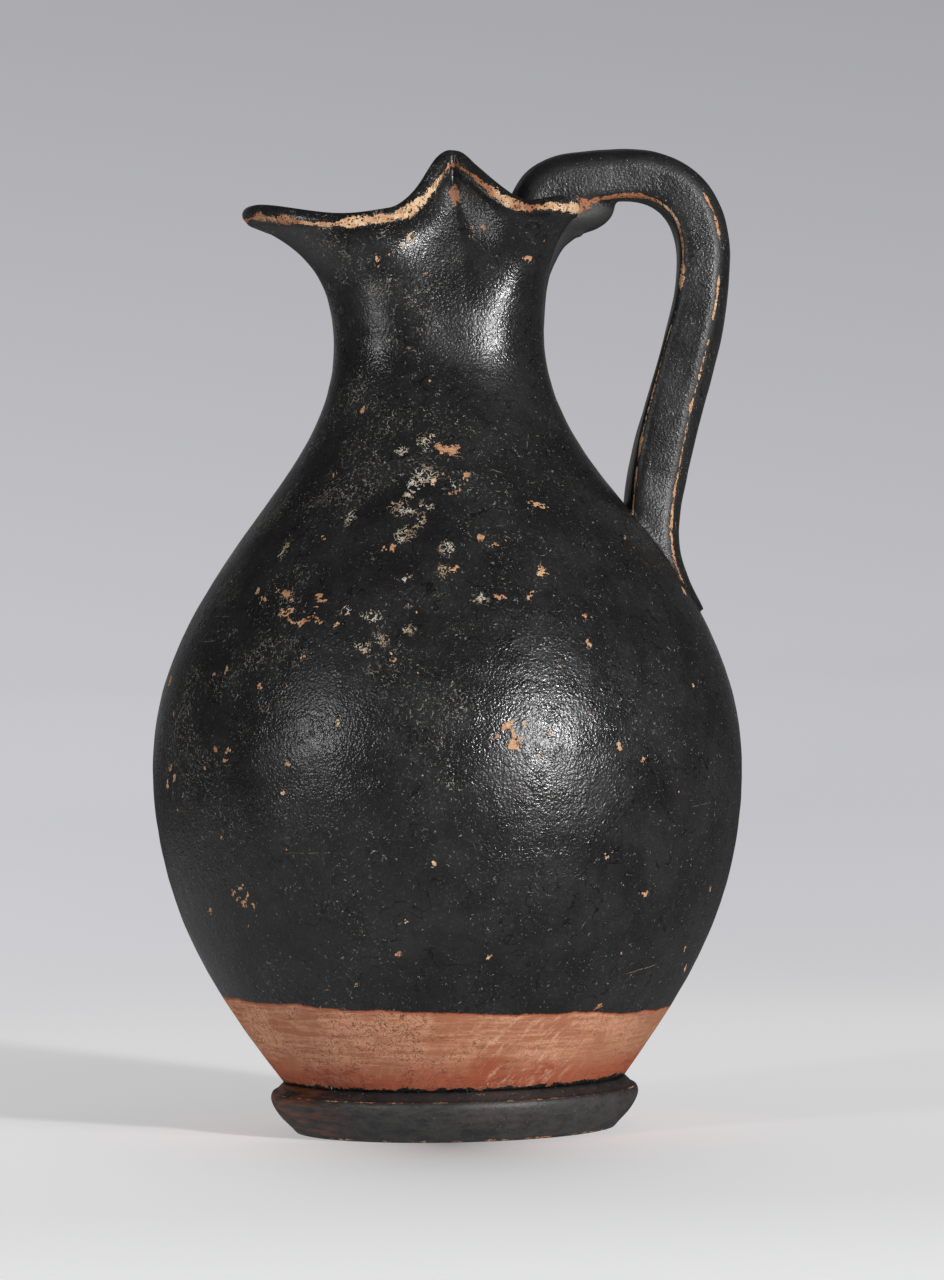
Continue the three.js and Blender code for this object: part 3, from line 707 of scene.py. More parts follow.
# The bare band over the foot. Its patterns go by radians round from the near side and by height
BAND_TOP, BAND_REDDER_BELOW = 26.4, (12.8, 8.2)
BAND_TURNING, WIPED_SLANT = (0.10, 0.10, 1.5), 0.75
SMUDGE_CENTRE, SMUDGE_SHAPE = (0.10, 15.2, 0.0), (6.0, 0.22, 0.0)
BAND_OUTLINE = (0.40, 0.09, 0.03, 1)
BAND_CLAY = (0.38, 0.135, 0.062, 1)
BAND_PALE = (0.60, 0.285, 0.160, 1)
BAND_RED = (0.34, 0.070, 0.026, 1)
BAND_DARK = (0.13, 0.040, 0.022, 1)
BAND_BROWN = (0.33, 0.15, 0.085, 1)
BAND_WIPED = (0.72, 0.42, 0.28, 1)
FOOT_BROWN = (0.22, 0.065, 0.025, 1)
RAW_CLAY = (0.55, 0.29, 0.16, 1)
RAW_CLAY_STAIN = (0.40, 0.17, 0.085, 1)

# The widest wear in the tables below, in millimetres
WEAR_MOST = 3.0
# The lip's worn line by the way round from the spout (0) past the near side to the handle (1):
# its width in millimetres and how pale its clay is
LIP_WEAR = (
    (0.0, 1.1, 0.3), (0.03, 1.0, 0.35), (0.05, 0.2, 0.4), (0.075, 2.3, 0.5), (0.14, 2.3, 0.45),
    (0.18, 1.2, 0.6), (0.24, 1.5, 0.6), (0.28, 2.9, 0.75), (0.33, 1.7, 0.7), (0.37, 2.6, 0.8),
    (0.43, 2.0, 0.8), (0.49, 1.6, 0.7), (0.525, 0.9, 0.4), (0.55, 1.6, 0.8), (0.565, 0.3, 0.4),
    (0.59, 0.8, 0.25), (0.63, 1.1, 0.2), (0.66, 1.4, 0.35), (0.69, 2.3, 0.8), (0.73, 1.8, 0.35),
    (0.76, 2.1, 0.75), (0.86, 2.2, 0.8), (0.93, 1.6, 0.6), (1.0, 0.8, 0.4),
)
# The strap's worn edges by the share of the way from lip to root: width in millimetres
OUTER_EDGE_WEAR = (
    (0.0, 0.0), (0.315, 0.0), (0.33, 1.1), (0.352, 0.9), (0.36, 0.6), (0.376, 0.7), (0.385, 0.0),
    (0.430, 0.0), (0.442, 0.6), (0.47, 1.0), (0.50, 0.9), (0.51, 0.0), (0.528, 0.1), (0.535, 0.7),
    (0.548, 0.2), (0.565, 0.7), (0.59, 0.8), (0.602, 0.3), (0.64, 0.8), (0.655, 0.5), (0.73, 0.8),
    (0.84, 0.9), (0.93, 0.7), (1.0, 0.6),
)
INNER_EDGE_WEAR = (
    (0.0, 1.0), (0.10, 1.6), (0.22, 1.7), (0.25, 1.0), (0.31, 0.7), (0.37, 0.9), (0.40, 0.5),
    (0.415, 1.3), (0.45, 1.5), (0.47, 0.3), (0.60, 0.3), (0.64, 0.6), (0.68, 0.7), (0.71, 1.1),
    (0.74, 0.6), (0.85, 0.6), (1.0, 0.5),
)

# Chips, placed one by one: degrees round from the near side towards the handle, height, width and
# tallness in millimetres, and tilt in degrees
CHIPS = (
    (-2.4, 137.5, 4.8, 1.7, -9), (-5.5, 138.3, 1.6, 1.4, 0), (1.2, 137.9, 1.6, 0.8, 19),
    (3.9, 132.2, 1.4, 1.3, -33), (5.2, 119.6, 1.7, 1.3, 18), (-18, 118, 0.8, 1.6, -15),
    (-20, 118, 0.7, 0.7, 0), (-2.4, 113.6, 2.0, 0.9, 29), (9, 118.4, 0.8, 0.5, 0),
    (19.2, 112.5, 2.5, 1.3, 8), (19.7, 113.7, 0.9, 0.6, 0), (7.9, 107.9, 1.9, 0.9, 0),
    (15.3, 108.4, 1.3, 0.7, 25), (14.8, 107.4, 0.7, 1.3, 17), (26.3, 126.1, 4.9, 0.7, -16),
    (-7.7, 131.1, 1.1, 1.0, 0), (0.2, 129.1, 1.1, 0.8, 28), (-1.7, 128.8, 0.8, 0.8, 0),
    (-47, 133.4, 1.3, 1.3, 0), (-44, 146, 0.9, 1.7, 0), (27, 103.5, 1.0, 1.5, 0),
    (26, 98.4, 1.3, 1.1, 0), (73, 108.6, 1.8, 2.2, 15), (-39.3, 120.3, 0.9, 0.9, 0),
    (-54.1, 110, 1.0, 1.5, -19), (-51.6, 108.4, 0.7, 1.1, -22), (-50.2, 108.4, 0.6, 1.2, -24),
    (-47.5, 110.2, 1.2, 0.6, 0), (-44.1, 109.5, 3.7, 1.2, 0), (-41.7, 108, 0.6, 1.1, 28),
    (-34.6, 108.8, 2.0, 1.1, 3), (-33.7, 107.9, 2.6, 0.6, -4), (-34.5, 106.8, 0.6, 0.8, 0),
    (-43.3, 106.2, 1.7, 0.6, 7), (-41.2, 106.1, 1.7, 0.7, 22), (-42.6, 105.3, 2.2, 1.0, -8),
    (-39.5, 104, 2.7, 0.6, -26), (-37.7, 103.4, 1.2, 0.9, 0), (-36.8, 103.9, 1.7, 0.8, 35),
    (-35.6, 104.7, 1.3, 1.0, 29), (-34.8, 105.3, 0.8, 0.7, 29), (-33.4, 104.2, 1.0, 0.5, -25),
    (-32.4, 103.8, 0.9, 0.6, 0), (-28.5, 103.1, 1.2, 0.7, -26), (-35, 97.1, 1.4, 0.5, -9),
    (-21.1, 97.9, 0.8, 0.6, 19), (-15.9, 97.5, 0.6, 0.6, 0), (-15.3, 95.8, 1.1, 0.8, -39),
    (-44.2, 91.6, 1.0, 1.0, 0), (-25.6, 84, 1.0, 1.1, 0), (-36, 76.2, 1.6, 1.6, 0),
    (-55, 94.8, 0.9, 1.3, 0), (-58.7, 93.9, 0.7, 0.9, 0), (-82, 92.4, 2.4, 2.2, 0),
    (-73, 86, 1.0, 1.5, 0), (-72, 75.2, 2.2, 1.5, 20), (-70, 73.4, 1.6, 1.2, 0),
    (-74, 72, 1.2, 1.8, 0), (-54.5, 79.2, 1.1, 1.2, 0), (-50.8, 79, 1.0, 1.2, 20),
    (-58, 75.6, 0.8, 1.0, 0), (-51.5, 77, 1.2, 0.8, 0), (-66, 70, 0.7, 0.7, 0),
    (-69, 67, 0.9, 0.7, 0), (7, 83, 1.8, 1.7, 18), (7.5, 81.4, 0.9, 2.0, 0),
    (7.6, 79.3, 2.6, 2.1, -11), (6, 82.4, 1.6, 0.6, 28), (4, 80.7, 0.9, 0.7, 0),
    (9, 80, 1.2, 0.8, -41), (10.1, 83.1, 0.9, 0.5, 0), (14.7, 81.3, 1.0, 0.8, 0),
    (12.3, 77.1, 1.2, 0.5, 0), (29.3, 78.1, 1.3, 1.7, 0), (34.9, 75.6, 0.7, 0.9, 0),
    (23.5, 84.8, 0.7, 0.7, 0), (53, 89.6, 0.8, 0.9, 0), (-37.4, 70.5, 0.9, 0.8, 0),
    (55, 119.4, 0.7, 0.7, 0), (-51, 51.6, 1.7, 0.9, 30), (-52.5, 49.6, 1.6, 0.7, 50),
    (-49.5, 50.2, 0.8, 1.9, -20), (-51, 48.6, 1.3, 0.8, 0), (-48.4, 48.2, 0.7, 1.3, 0),
    (-53.6, 50.8, 0.8, 0.9, 0), (-64, 47, 1.4, 1.2, 0), (-54, 61.5, 1.1, 1.1, 0),
    (-7.7, 56.1, 0.8, 0.8, 0), (-13.6, 45.3, 0.8, 0.7, 0), (-16, 38.6, 1.3, 0.7, 0),
    (3.5, 37.6, 0.8, 1.6, -25), (27, 56.8, 0.7, 1.2, 0), (38.3, 49.1, 1.3, 1.0, 35),
    (62.5, 48.9, 0.9, 1.0, 0), (60, 37, 0.8, 1.5, 0), (67.5, 32.4, 1.0, 1.6, 0),
    (34, 26.5, 2.9, 0.7, 22), (-27, 32.5, 1.1, 0.7, 0), (-34.5, 31.6, 0.7, 0.6, 0),
    (47, 176.2, 3.4, 1.3, -4), (-14, 173.6, 0.9, 0.8, 0), (-3.7, 171.2, 0.7, 0.6, 0),
    (-23, 181.3, 0.7, 2.4, -25), (-19.5, 180.4, 0.7, 0.9, 0), (-26, 179.3, 0.5, 1.0, -25),
    (-33.5, 177.3, 0.5, 1.0, -25), (-40, 176.6, 0.5, 1.3, 0), (-40, 175.3, 0.7, 0.8, 0),
    (24, 182.9, 0.5, 1.3, 0), (28.5, 182.5, 0.5, 1.2, -20), (21.2, 180.6, 0.6, 0.7, 0),
    (-9.6, 151.8, 0.6, 0.6, 0), (63, 186.6, 3.6, 0.8, 38), (140, 118, 3.4, 2.2, 20),
    (168, 92, 2.0, 3.0, 0), (-128, 84, 2.6, 1.8, 10), (-150, 121, 1.8, 2.4, 0),
    (118, 62, 2.2, 1.4, -20), (-112, 58, 1.6, 1.6, 0),
)

# Whitish crust on the shoulder, and long light scratches, listed in the same way
CRUSTS = (
    (-10.9, 132.5, 4.6, 3.6, 19), (-14, 130.3, 2.6, 2.2, 0), (-15.3, 128.1, 1.5, 3.1, -25),
    (-18, 126, 3.3, 2.9, 0), (-13.8, 125.1, 3.4, 1.0, -11), (-10.7, 123.7, 1.4, 2.9, -21),
    (-11.4, 122.3, 2.0, 1.1, 19), (-15.3, 120.5, 3.8, 2.5, 0), (-11.1, 127, 1.2, 0.9, 9),
    (-8.4, 126.1, 1.6, 0.9, 4), (-3.9, 132.4, 3.2, 0.5, -30), (-1.3, 130.8, 1.2, 1.0, 0),
    (0.2, 129.7, 0.7, 1.4, 0), (-11.6, 139.6, 2.6, 2.4, 0), (-9.2, 140.2, 1.7, 2.1, -31),
    (-20.2, 137.5, 2.6, 1.4, 0), (-4, 117.6, 2.8, 2.4, 0), (-13.9, 112, 3.5, 1.1, 14),
    (-5.1, 113.2, 2.0, 2.4, 0), (3.3, 107.6, 3.1, 1.7, 0), (-12, 102, 2.4, 2.0, 0),
    (-27, 105.8, 2.8, 1.3, 0), (-20.8, 104.7, 3.3, 1.8, 0), (-17.8, 100, 2.2, 2.5, 0),
    (-21.5, 98.7, 2.7, 1.7, 0), (-52, 118.5, 1.2, 4.4, -35), (-33, 124, 1.2, 4.0, -40),
)
SCRATCHES = (
    (44.5, 33.7, 13.0, 0.22, 8), (10.5, 69.6, 14.0, 0.16, 1), (-32, 58.8, 15.0, 0.13, 0),
    (-64, 105.3, 11.0, 0.16, -1), (15.3, 133.1, 3.9, 0.22, -22), (33.9, 139.6, 0.25, 5.4, -18),
    (-66, 100.5, 12.0, 0.12, 0), (52, 66, 9.0, 0.12, 4), (-17.1, 161.9, 0.25, 2.8, 30),
    (24, 44, 6.0, 0.14, 50), (1.2, 136.2, 3.4, 0.25, -13), (12.8, 119.7, 2.0, 0.25, -22),
    (9.8, 195, 0.35, 5.0, -12), (18.5, 195.7, 0.3, 4.0, 12), (15.8, 196.7, 0.25, 3.0, 0),
)
# Bare pinkish clay where the two halves of the near fold meet
FOLD_PATCH = (13.5, 189.6, 2.2, 3.3, 0)


class Wiring:
    """Adds nodes to one tree, so that a pattern reads as a formula."""

    def __init__(self, tree):
        self.tree = tree

    def node(self, kind, feeds=None, **settings):
        made = self.tree.nodes.new(kind)
        for name, value in settings.items():
            setattr(made, name, value)
        for place, value in (feeds or {}).items():
            self.feed(made.inputs[place], value)
        return made

    def feed(self, socket, value):
        if isinstance(value, bpy.types.NodeSocket):
            self.tree.links.new(value, socket)
        else:
            socket.default_value = value

    def math(self, operation, a, b=0.0, c=0.0, clamp=False):
        feeds = {0: a, 1: b, 2: c}
        return self.node("ShaderNodeMath", feeds, operation=operation, use_clamp=clamp).outputs[0]

    times = partialmethod(math, "MULTIPLY")
    plus = partialmethod(math, "ADD")
    minus = partialmethod(math, "SUBTRACT")
    divided = partialmethod(math, "DIVIDE")
    times_plus = partialmethod(math, "MULTIPLY_ADD")
    greater = partialmethod(math, "MAXIMUM")
    lesser = partialmethod(math, "MINIMUM")
    size_of = partialmethod(math, "ABSOLUTE")

    def vector(self, operation, a, b=(0.0, 0.0, 0.0)):
        made = self.node("ShaderNodeVectorMath", {0: a, 1: b}, operation=operation)
        return made.outputs["Value" if operation == "LENGTH" else "Vector"]

    stretch = partialmethod(vector, "MULTIPLY")
    shrink = partialmethod(vector, "DIVIDE")
    shift = partialmethod(vector, "ADD")
    away = partialmethod(vector, "SUBTRACT")
    length = partialmethod(vector, "LENGTH")

    def noise(self, place, scale, detail=2.0, roughness=0.5, distortion=0.0):
        feeds = {"Vector": place, "Scale": scale, "Detail": detail}
        feeds.update({"Roughness": roughness, "Distortion": distortion})
        return self.node("ShaderNodeTexNoise", feeds).outputs[0]

    def cells(self, place, scale, **settings):
        return self.node("ShaderNodeTexVoronoi", {"Vector": place, "Scale": scale}, **settings).outputs

    def curl(self, place, *how):
        """How far the noise is from its middle value: nothing along curling lines."""
        return self.size_of(self.minus(self.noise(place, *how), 0.5))

    def noise_vector(self, place, scale, amount):
        feeds = {"Vector": place, "Scale": scale, "Detail": 2.0}
        colour = self.node("ShaderNodeTexNoise", feeds).outputs["Color"]
        return self.stretch(self.away(colour, (0.5, 0.5, 0.5)), (amount,) * 3)

    def step(self, value, low, high, start=0.0, stop=1.0):
        feeds = {"Value": value, "From Min": low, "From Max": high, "To Min": start, "To Max": stop}
        return self.node("ShaderNodeMapRange", feeds, interpolation_type="SMOOTHSTEP").outputs[0]

    def step_line(self, value, low, high):
        """Where the value lies between low and high, from 0 to 1 in a straight line."""
        feeds = {"Value": value, "From Min": low, "From Max": high}
        return self.node("ShaderNodeMapRange", feeds).outputs[0]

    def mix(self, factor, a, b):
        made = self.node("ShaderNodeMix", data_type="RGBA")
        self.feed(made.inputs[0], factor)
        self.feed(made.inputs[6], a)
        self.feed(made.inputs[7], b)
        return made.outputs[2]

    def combine(self, x, y, z):
        return self.node("ShaderNodeCombineXYZ", {0: x, 1: y, 2: z}).outputs[0]

    def axes(self, vector):
        return self.node("ShaderNodeSeparateXYZ", {0: vector}).outputs

    def colour(self, red, green, blue):
        return self.node("ShaderNodeCombineColor", {0: red, 1: green, 2: blue}).outputs[0]

    def channels(self, colour):
        return self.node("ShaderNodeSeparateColor", {0: colour}).outputs

    def stored(self, name):
        """A number that the mesh keeps for each of its points."""
        return self.node("ShaderNodeAttribute", attribute_name=name).outputs["Fac"]

    def turned(self, vector, angle):
        feeds = {"Vector": vector, "Angle": angle}
        return self.node("ShaderNodeVectorRotate", feeds, rotation_type="Z_AXIS").outputs[0]

    def ramp(self, value, stops):
        """A tone that runs through the stops. Each is a place from 0 to 1 with a grey or a colour."""
        made = self.node("ShaderNodeValToRGB", {0: value})
        elements = made.color_ramp.elements
        for place, _ in stops[1:-1]:
            elements.new(place)
        elements[0].position, elements[-1].position = stops[0][0], stops[-1][0]
        for element, (_, tone) in zip(elements, stops):
            element.color = tone if isinstance(tone, tuple) else (tone, tone, tone, 1)
        return made.outputs[0]

    def group(self, tree, feeds):
        made = self.node("ShaderNodeGroup", node_tree=tree)
        for place, value in feeds.items():
            self.feed(made.inputs[place], value)
        return made.outputs


def effect(name, inputs, outputs):
    """An empty shader node group: its wiring, its inputs and a function that feeds its outputs."""
    tree = bpy.data.node_groups.new(name, "ShaderNodeTree")
    kinds = {"vector": "NodeSocketVector", "colour": "NodeSocketColor", "number": "NodeSocketFloat"}
    for label, kind, value in inputs:
        socket = tree.interface.new_socket(name=label, in_out="INPUT", socket_type=kinds[kind])
        socket.default_value = value
    for label, kind in outputs:
        tree.interface.new_socket(name=label, in_out="OUTPUT", socket_type=kinds[kind])
    wiring = Wiring(tree)
    entry = wiring.node("NodeGroupInput")
    leave = wiring.node("NodeGroupOutput")
    return wiring, entry.outputs, lambda label, value: wiring.feed(leave.inputs[label], value)


def glaze_surface():
    """Fired black gloss: fine and crinkled grain, wheel lines, haze, light flecks and dark cracks."""
    w, given, out = effect(
        "glaze_surface",
        [
            ("Place", "vector", (0, 0, 0)),
            ("Dust", "number", 1.0),
            ("Grain", "number", 1.0),
            ("Crinkle", "number", 1.0),
        ],
        [("Height", "number"), ("Haze", "number"), ("Specks", "number"), ("Cracks", "number")],
    )
    place = given["Place"]
    fine = w.noise(place, FINE_SCALE, 1.0, 0.65)
    slow = w.noise(place, SWELL_SCALE, 2.0, 0.5)
    crinkle = w.curl(place, CRINKLE_SCALE, 1.0, 0.5)
    wheel = w.noise(w.stretch(place, (0.04, 0.04, 1.0)), WHEEL_SCALE, 2.0, 0.6)
    zones = w.step(slow, 0.40, 0.62, 0.2 * GRAIN_CRINKLE, GRAIN_CRINKLE)
    height = w.times(w.times(fine, GRAIN_FINE), given["Grain"])
    height = w.times_plus(crinkle, w.times(zones, given["Crinkle"]), height)
    height = w.times_plus(slow, GRAIN_SWELL, height)
    height = w.times_plus(wheel, GRAIN_WHEEL, height)

    # Light specks and short curled flecks, gathered in clusters
    cluster = w.times(w.step(w.noise(place, CLUSTER_SCALE, 4.0, 0.65), 0.40, 0.62), given["Dust"])
    cells = w.cells(place, DOT_SCALE)
    pick = w.channels(cells["Color"])
    size = w.times_plus(pick[1], 0.07, 0.02)
    dot = w.step(w.minus(cells["Distance"], size), 0.07, 0.0)
    chosen = w.math("LESS_THAN", pick[0], w.times_plus(cluster, 0.20, 0.02))
    dots = w.times(dot, w.times(chosen, pick[2]))
    curl = w.curl(place, CURL_SCALE, 2.0, 0.65, 0.5)
    torn = w.times_plus(cluster, 0.13, w.noise(place, CURL_SCALE, 3.0, 0.65))
    curls = w.times(w.step(curl, 0.030, 0.012), w.step(torn, 0.585, 0.68))
    specks = w.greater(dots, curls)
    powder = w.times(w.step(fine, 0.5, 0.8), w.times_plus(cluster, 0.10, 0.03))
    specks = w.greater(specks, powder)

    # Dark cracks that branch like roots
    wander = w.shift(place, w.noise_vector(place, CRACK_WANDER_SCALE, CRACK_WANDER))
    web = w.cells(wander, CRACK_SCALE, feature="DISTANCE_TO_EDGE")
    cracks = w.step(web["Distance"], 0.024, 0.006)
    cracks = w.times(cracks, w.step(slow, 0.44, 0.56))

    out("Height", height)
    out("Haze", w.step(w.noise(place, HAZE_SCALE, 4.0, 0.72), 0.3, 0.72))
    out("Specks", specks)
    out("Cracks", cracks)
    return w.tree


def bare_clay():
    """Buff clay where the glaze is gone, redder in places."""
    w, given, out = effect(
        "bare_clay",
        [("Place", "vector", (0, 0, 0)), ("Paleness", "number", 0.5)],
        [("Colour", "colour"), ("Height", "number")],
    )
    place = given["Place"]
    patch = w.plus(w.noise(place, 0.55, 4.0, 0.65), w.minus(given["Paleness"], 0.5))
    patch = w.times_plus(w.noise(place, 0.12, 0.0), 0.5, w.minus(patch, 0.25))
    colour = w.mix(w.step(patch, 0.34, 0.60), CHIP_ORANGE, CHIP_BUFF)
    colour = w.mix(w.step(patch, 0.60, 0.80), colour, CHIP_PALE)
    grit = w.noise(place, 2.2, 2.0, 0.6)
    colour = w.mix(w.step(grit, 0.57, 0.68, 0.0, 0.8), colour, CHIP_DARK)
    out("Colour", colour)
    out("Height", w.times(grit, 0.08))
    return w.tree


def worn_edge():
    """Where handling has rubbed the glaze off an edge, given the distance from the edge."""
    w, given, out = effect(
        "worn_edge",
        [
            ("Place", "vector", (0, 0, 0)),
            ("Distance", "number", 10.0),
            ("Width", "number", 1.0),
            ("Presence", "number", 0.5),
        ],
        [("Mask", "number")],
    )
    place = given["Place"]
    come_and_go = w.step(w.noise(place, 0.22, 2.0, 0.6), 0.35, 0.65, -0.35, 0.35)
    ragged = w.times_plus(w.noise(place, 1.0, 4.0, 0.75), 2.6, -1.3)
    reach = w.plus(w.plus(given["Presence"], come_and_go), ragged)
    inside = w.minus(w.times(given["Width"], reach), given["Distance"])
    left_over = w.step(w.noise(place, 1.8, 3.0, 0.6), 0.585, 0.61)
    out("Mask", w.times(w.step(inside, -0.03, 0.04), w.minus(1.0, left_over)))
    return w.tree


def chip_group():
    """One mark on the unrolled wall: its distance in half sizes, 1 at the edge of the ellipse."""
    w, given, out = effect(
        "chip",
        [
            ("Unrolled", "vector", (0, 0, 0)),
            ("Centre", "vector", (0, 0, 0)),
            ("Half size", "vector", (1, 1, 1)),
            ("Tilt", "number", 0.0),
        ],
        [("Distance", "number")],
    )
    aside = w.turned(w.away(given["Unrolled"], given["Centre"]), given["Tilt"])
    out("Distance", w.length(w.shrink(aside, given["Half size"])))
    return w.tree


def nearest_mark(w, unrolled, marks, chip):
    """The least distance to any of the marks: under 1 inside one."""
    best = None
    for angle, height, width, tall, tilt in marks:
        feeds = {
            "Unrolled": unrolled,
            "Centre": (radians(angle) * outer_radius(angle, height), height, 0.0),
            "Half size": (width / 2, tall / 2, 1.0),
            "Tilt": radians(-tilt),
        }
        distance = w.group(chip, feeds)["Distance"]
        best = distance if best is None else w.lesser(best, distance)
    return best


def new_material(name):
    material = bpy.data.materials.new(name)
    material.use_nodes = True
    w = Wiring(material.node_tree)
    shader = material.node_tree.nodes["Principled BSDF"]
    place = w.stretch(w.node("ShaderNodeTexCoord").outputs["Object"], (1 / MM,) * 3)
    return material, w, shader, place


def finish_surface(w, shader, colour, roughness, height):
    """Feeds the shader. Heights are in millimetres. The old gloss dulls at grazing angles."""
    w.feed(shader.inputs["Base Color"], colour)
    w.feed(shader.inputs["Roughness"], roughness)
    shader.inputs["Specular IOR Level"].default_value = GLOSS_LEVEL
    facing = w.node("ShaderNodeLayerWeight", {"Blend": 0.5}).outputs["Facing"]
    level = w.step(facing, 0.3, 0.95, GLOSS_LEVEL, GLOSS_LEVEL_GRAZING)
    w.feed(shader.inputs["Specular IOR Level"], level)
    relief = w.node("ShaderNodeBump", {"Height": height, "Strength": 1.0, "Distance": MM})
    w.feed(shader.inputs["Normal"], relief.outputs["Normal"])


def glazed(w, place, surface, dust, grain, crinkle):
    """Colour, roughness and height of the glaze before chips and wear."""
    marks = w.group(surface, {"Place": place, "Dust": dust, "Grain": grain, "Crinkle": crinkle})
    colour = w.mix(marks["Haze"], GLOSS_BLACK, GLOSS_GREY)
    colour = w.mix(w.times(marks["Cracks"], 0.9), colour, CRACK_BLACK)
    colour = w.mix(w.times(marks["Specks"], 0.85), colour, SPECK_WHITE)
    roughness = w.step(marks["Haze"], 0.0, 1.0, GLAZE_ROUGH_CLEAR, GLAZE_ROUGH_HAZY)
    roughness = w.times_plus(marks["Specks"], SPECK_ROUGHER, roughness)
    return colour, roughness, marks["Height"]


def rubbed_edge(w, wear, place, distance, width, presence):
    feeds = {"Place": place, "Distance": distance, "Width": width, "Presence": presence}
    return w.group(wear, feeds)["Mask"]


def lay(w, mask, top, below):
    """Lays one surface (colour, roughness, height) over another by a mask."""
    colour = w.mix(mask, below[0], top[0])
    roughness = w.times_plus(mask, w.minus(top[1], below[1]), below[1])
    height = w.times_plus(mask, w.minus(top[2], below[2]), below[2])
    return colour, roughness, height


def reserved_band(w, place, angle, height):
    """The bare clay zone over the foot: turned lines, wiped strokes, a redder wash and fine cracks."""
    lines = w.noise(w.stretch(place, BAND_TURNING), 0.9, 4.0, 0.65)
    blotch = w.noise(place, 0.11, 4.0, 0.65)
    tone = w.times_plus(blotch, 0.9, w.times_plus(lines, 0.8, -0.35))
    colour = w.mix(w.step(tone, 0.36, 0.66), BAND_CLAY, BAND_PALE)
    grain = w.noise(place, 1.9, 3.0, 0.75)
    colour = w.mix(w.step(grain, 0.42, 0.72, 0.0, 0.5), colour, BAND_BROWN)
    colour = w.mix(w.step(angle, 0.45, 1.2, 0.0, 0.6), colour, BAND_BROWN)
    low = w.step(w.times_plus(blotch, -9.0, height), *BAND_REDDER_BELOW)
    colour = w.mix(w.times(low, w.step(lines, 0.3, 0.62, 0.55, 1.0)), colour, BAND_RED)
    unrolled = w.combine(angle, height, 0.0)
    smudge = w.stretch(w.away(unrolled, SMUDGE_CENTRE), SMUDGE_SHAPE)
    smudge = w.times_plus(w.noise(place, 0.35, 3.0, 0.6), 1.2, w.length(smudge))
    colour = w.mix(w.step(smudge, 1.55, 0.7, 0.0, 0.85), colour, BAND_RED)

    # Light strokes where it was wiped, slanting up to the right, and fine scratches every way
    level = w.stretch(unrolled, (45.0, 1.0, 0.0))
    slant = w.turned(level, WIPED_SLANT)
    strokes = w.noise(w.stretch(slant, (1.0, 0.30, 1.0)), 0.8, 4.0, 0.7)
    where = w.times(w.step(angle, -0.05, 0.12), w.step(angle, 0.70, 0.40))
    strokes = w.times(w.step(strokes, 0.50, 0.66), w.times_plus(where, 0.42, 0.10))
    colour = w.mix(strokes, colour, BAND_WIPED)
    scratch = w.curl(place, 0.42, 3.0, 0.7, 0.6)
    scratch = w.times(w.step(scratch, 0.022, 0.006), w.step(blotch, 0.40, 0.56))
    colour = w.mix(w.times(scratch, w.step(angle, 0.3, -0.2, 0.35, 0.8)), colour, BAND_DARK)
    colour = w.mix(w.step(grain, 0.66, 0.74, 0.0, 0.6), colour, BAND_DARK)
    relief = w.times_plus(grain, 0.16, w.times_plus(lines, 0.12, -0.20))
    return colour, BAND_ROUGH, w.times_plus(scratch, -0.05, relief)


def round_the_jug(w, place):
    """The place's axes, its angle from the near side towards the handle and its radius."""
    parts = w.axes(place)
    angle = w.math("ARCTAN2", parts[0], w.times(parts[1], -1.0))
    radius = w.length(w.stretch(place, (1.0, 1.0, 0.0)))
    return parts, angle, radius


def lay_band(w, look, place, angle, height, outside):
    """The bare band, its red outline, and the dark run of glaze at the joint under it."""
    wave = w.noise(w.combine(w.times(angle, 3.0), 0.0, 0.0), 1.0, 3.0)
    edge = w.times_plus(w.math("SINE", angle), -2.1, BAND_TOP)
    edge = w.plus(edge, w.times_plus(wave, 2.8, -1.4))
    fray = w.times_plus(w.noise(place, 1.3, 2.0), 0.5, -0.25)
    above = w.plus(w.minus(height, edge), fray)
    lap = w.times_plus(w.noise(w.stretch(place, (1.0, 1.0, 2.0)), 0.32, 4.0, 0.7), 3.2, -1.6)
    lap = w.minus(lap, w.step(angle, 0.35, 1.2, 0.0, 0.3))
    joint = w.step(w.plus(height, lap), *JOINT_GLAZE)
    bare = w.times(w.step(above, 0.06, -0.06), w.minus(1.0, joint))
    bare = w.times(bare, outside)
    look = lay(w, bare, reserved_band(w, place, angle, height), look)
    outline = w.step(w.size_of(w.plus(above, 0.15)), 0.34, 0.12)
    outline = w.times(w.times(outline, 0.8), outside)
    look = (w.mix(outline, look[0], BAND_OUTLINE), look[1], look[2])
    return look


def lay_raw_clay(w, look, place, height, radius, outside):
    """Under the foot and inside the body the clay is bare."""
    under = w.times(w.step(height, *UNDER_BODY), w.step(radius, *UNDER_BODY_RADIUS))
    runs = w.noise(w.stretch(place, (1, 1, 0.25)), 0.12, 3.0)
    drip = w.plus(height, w.times_plus(runs, 34.0, -17.0))
    inner = w.times(w.minus(1.0, outside), w.step(drip, *INNER_GLAZE_ENDS))
    stain = w.noise(place, 0.25, 4.0)
    raw_look = w.mix(w.step(stain, 0.35, 0.7), RAW_CLAY, RAW_CLAY_STAIN)
    look = lay(w, w.greater(under, inner), (raw_look, CLAY_ROUGH, 0.0), look)
    return look


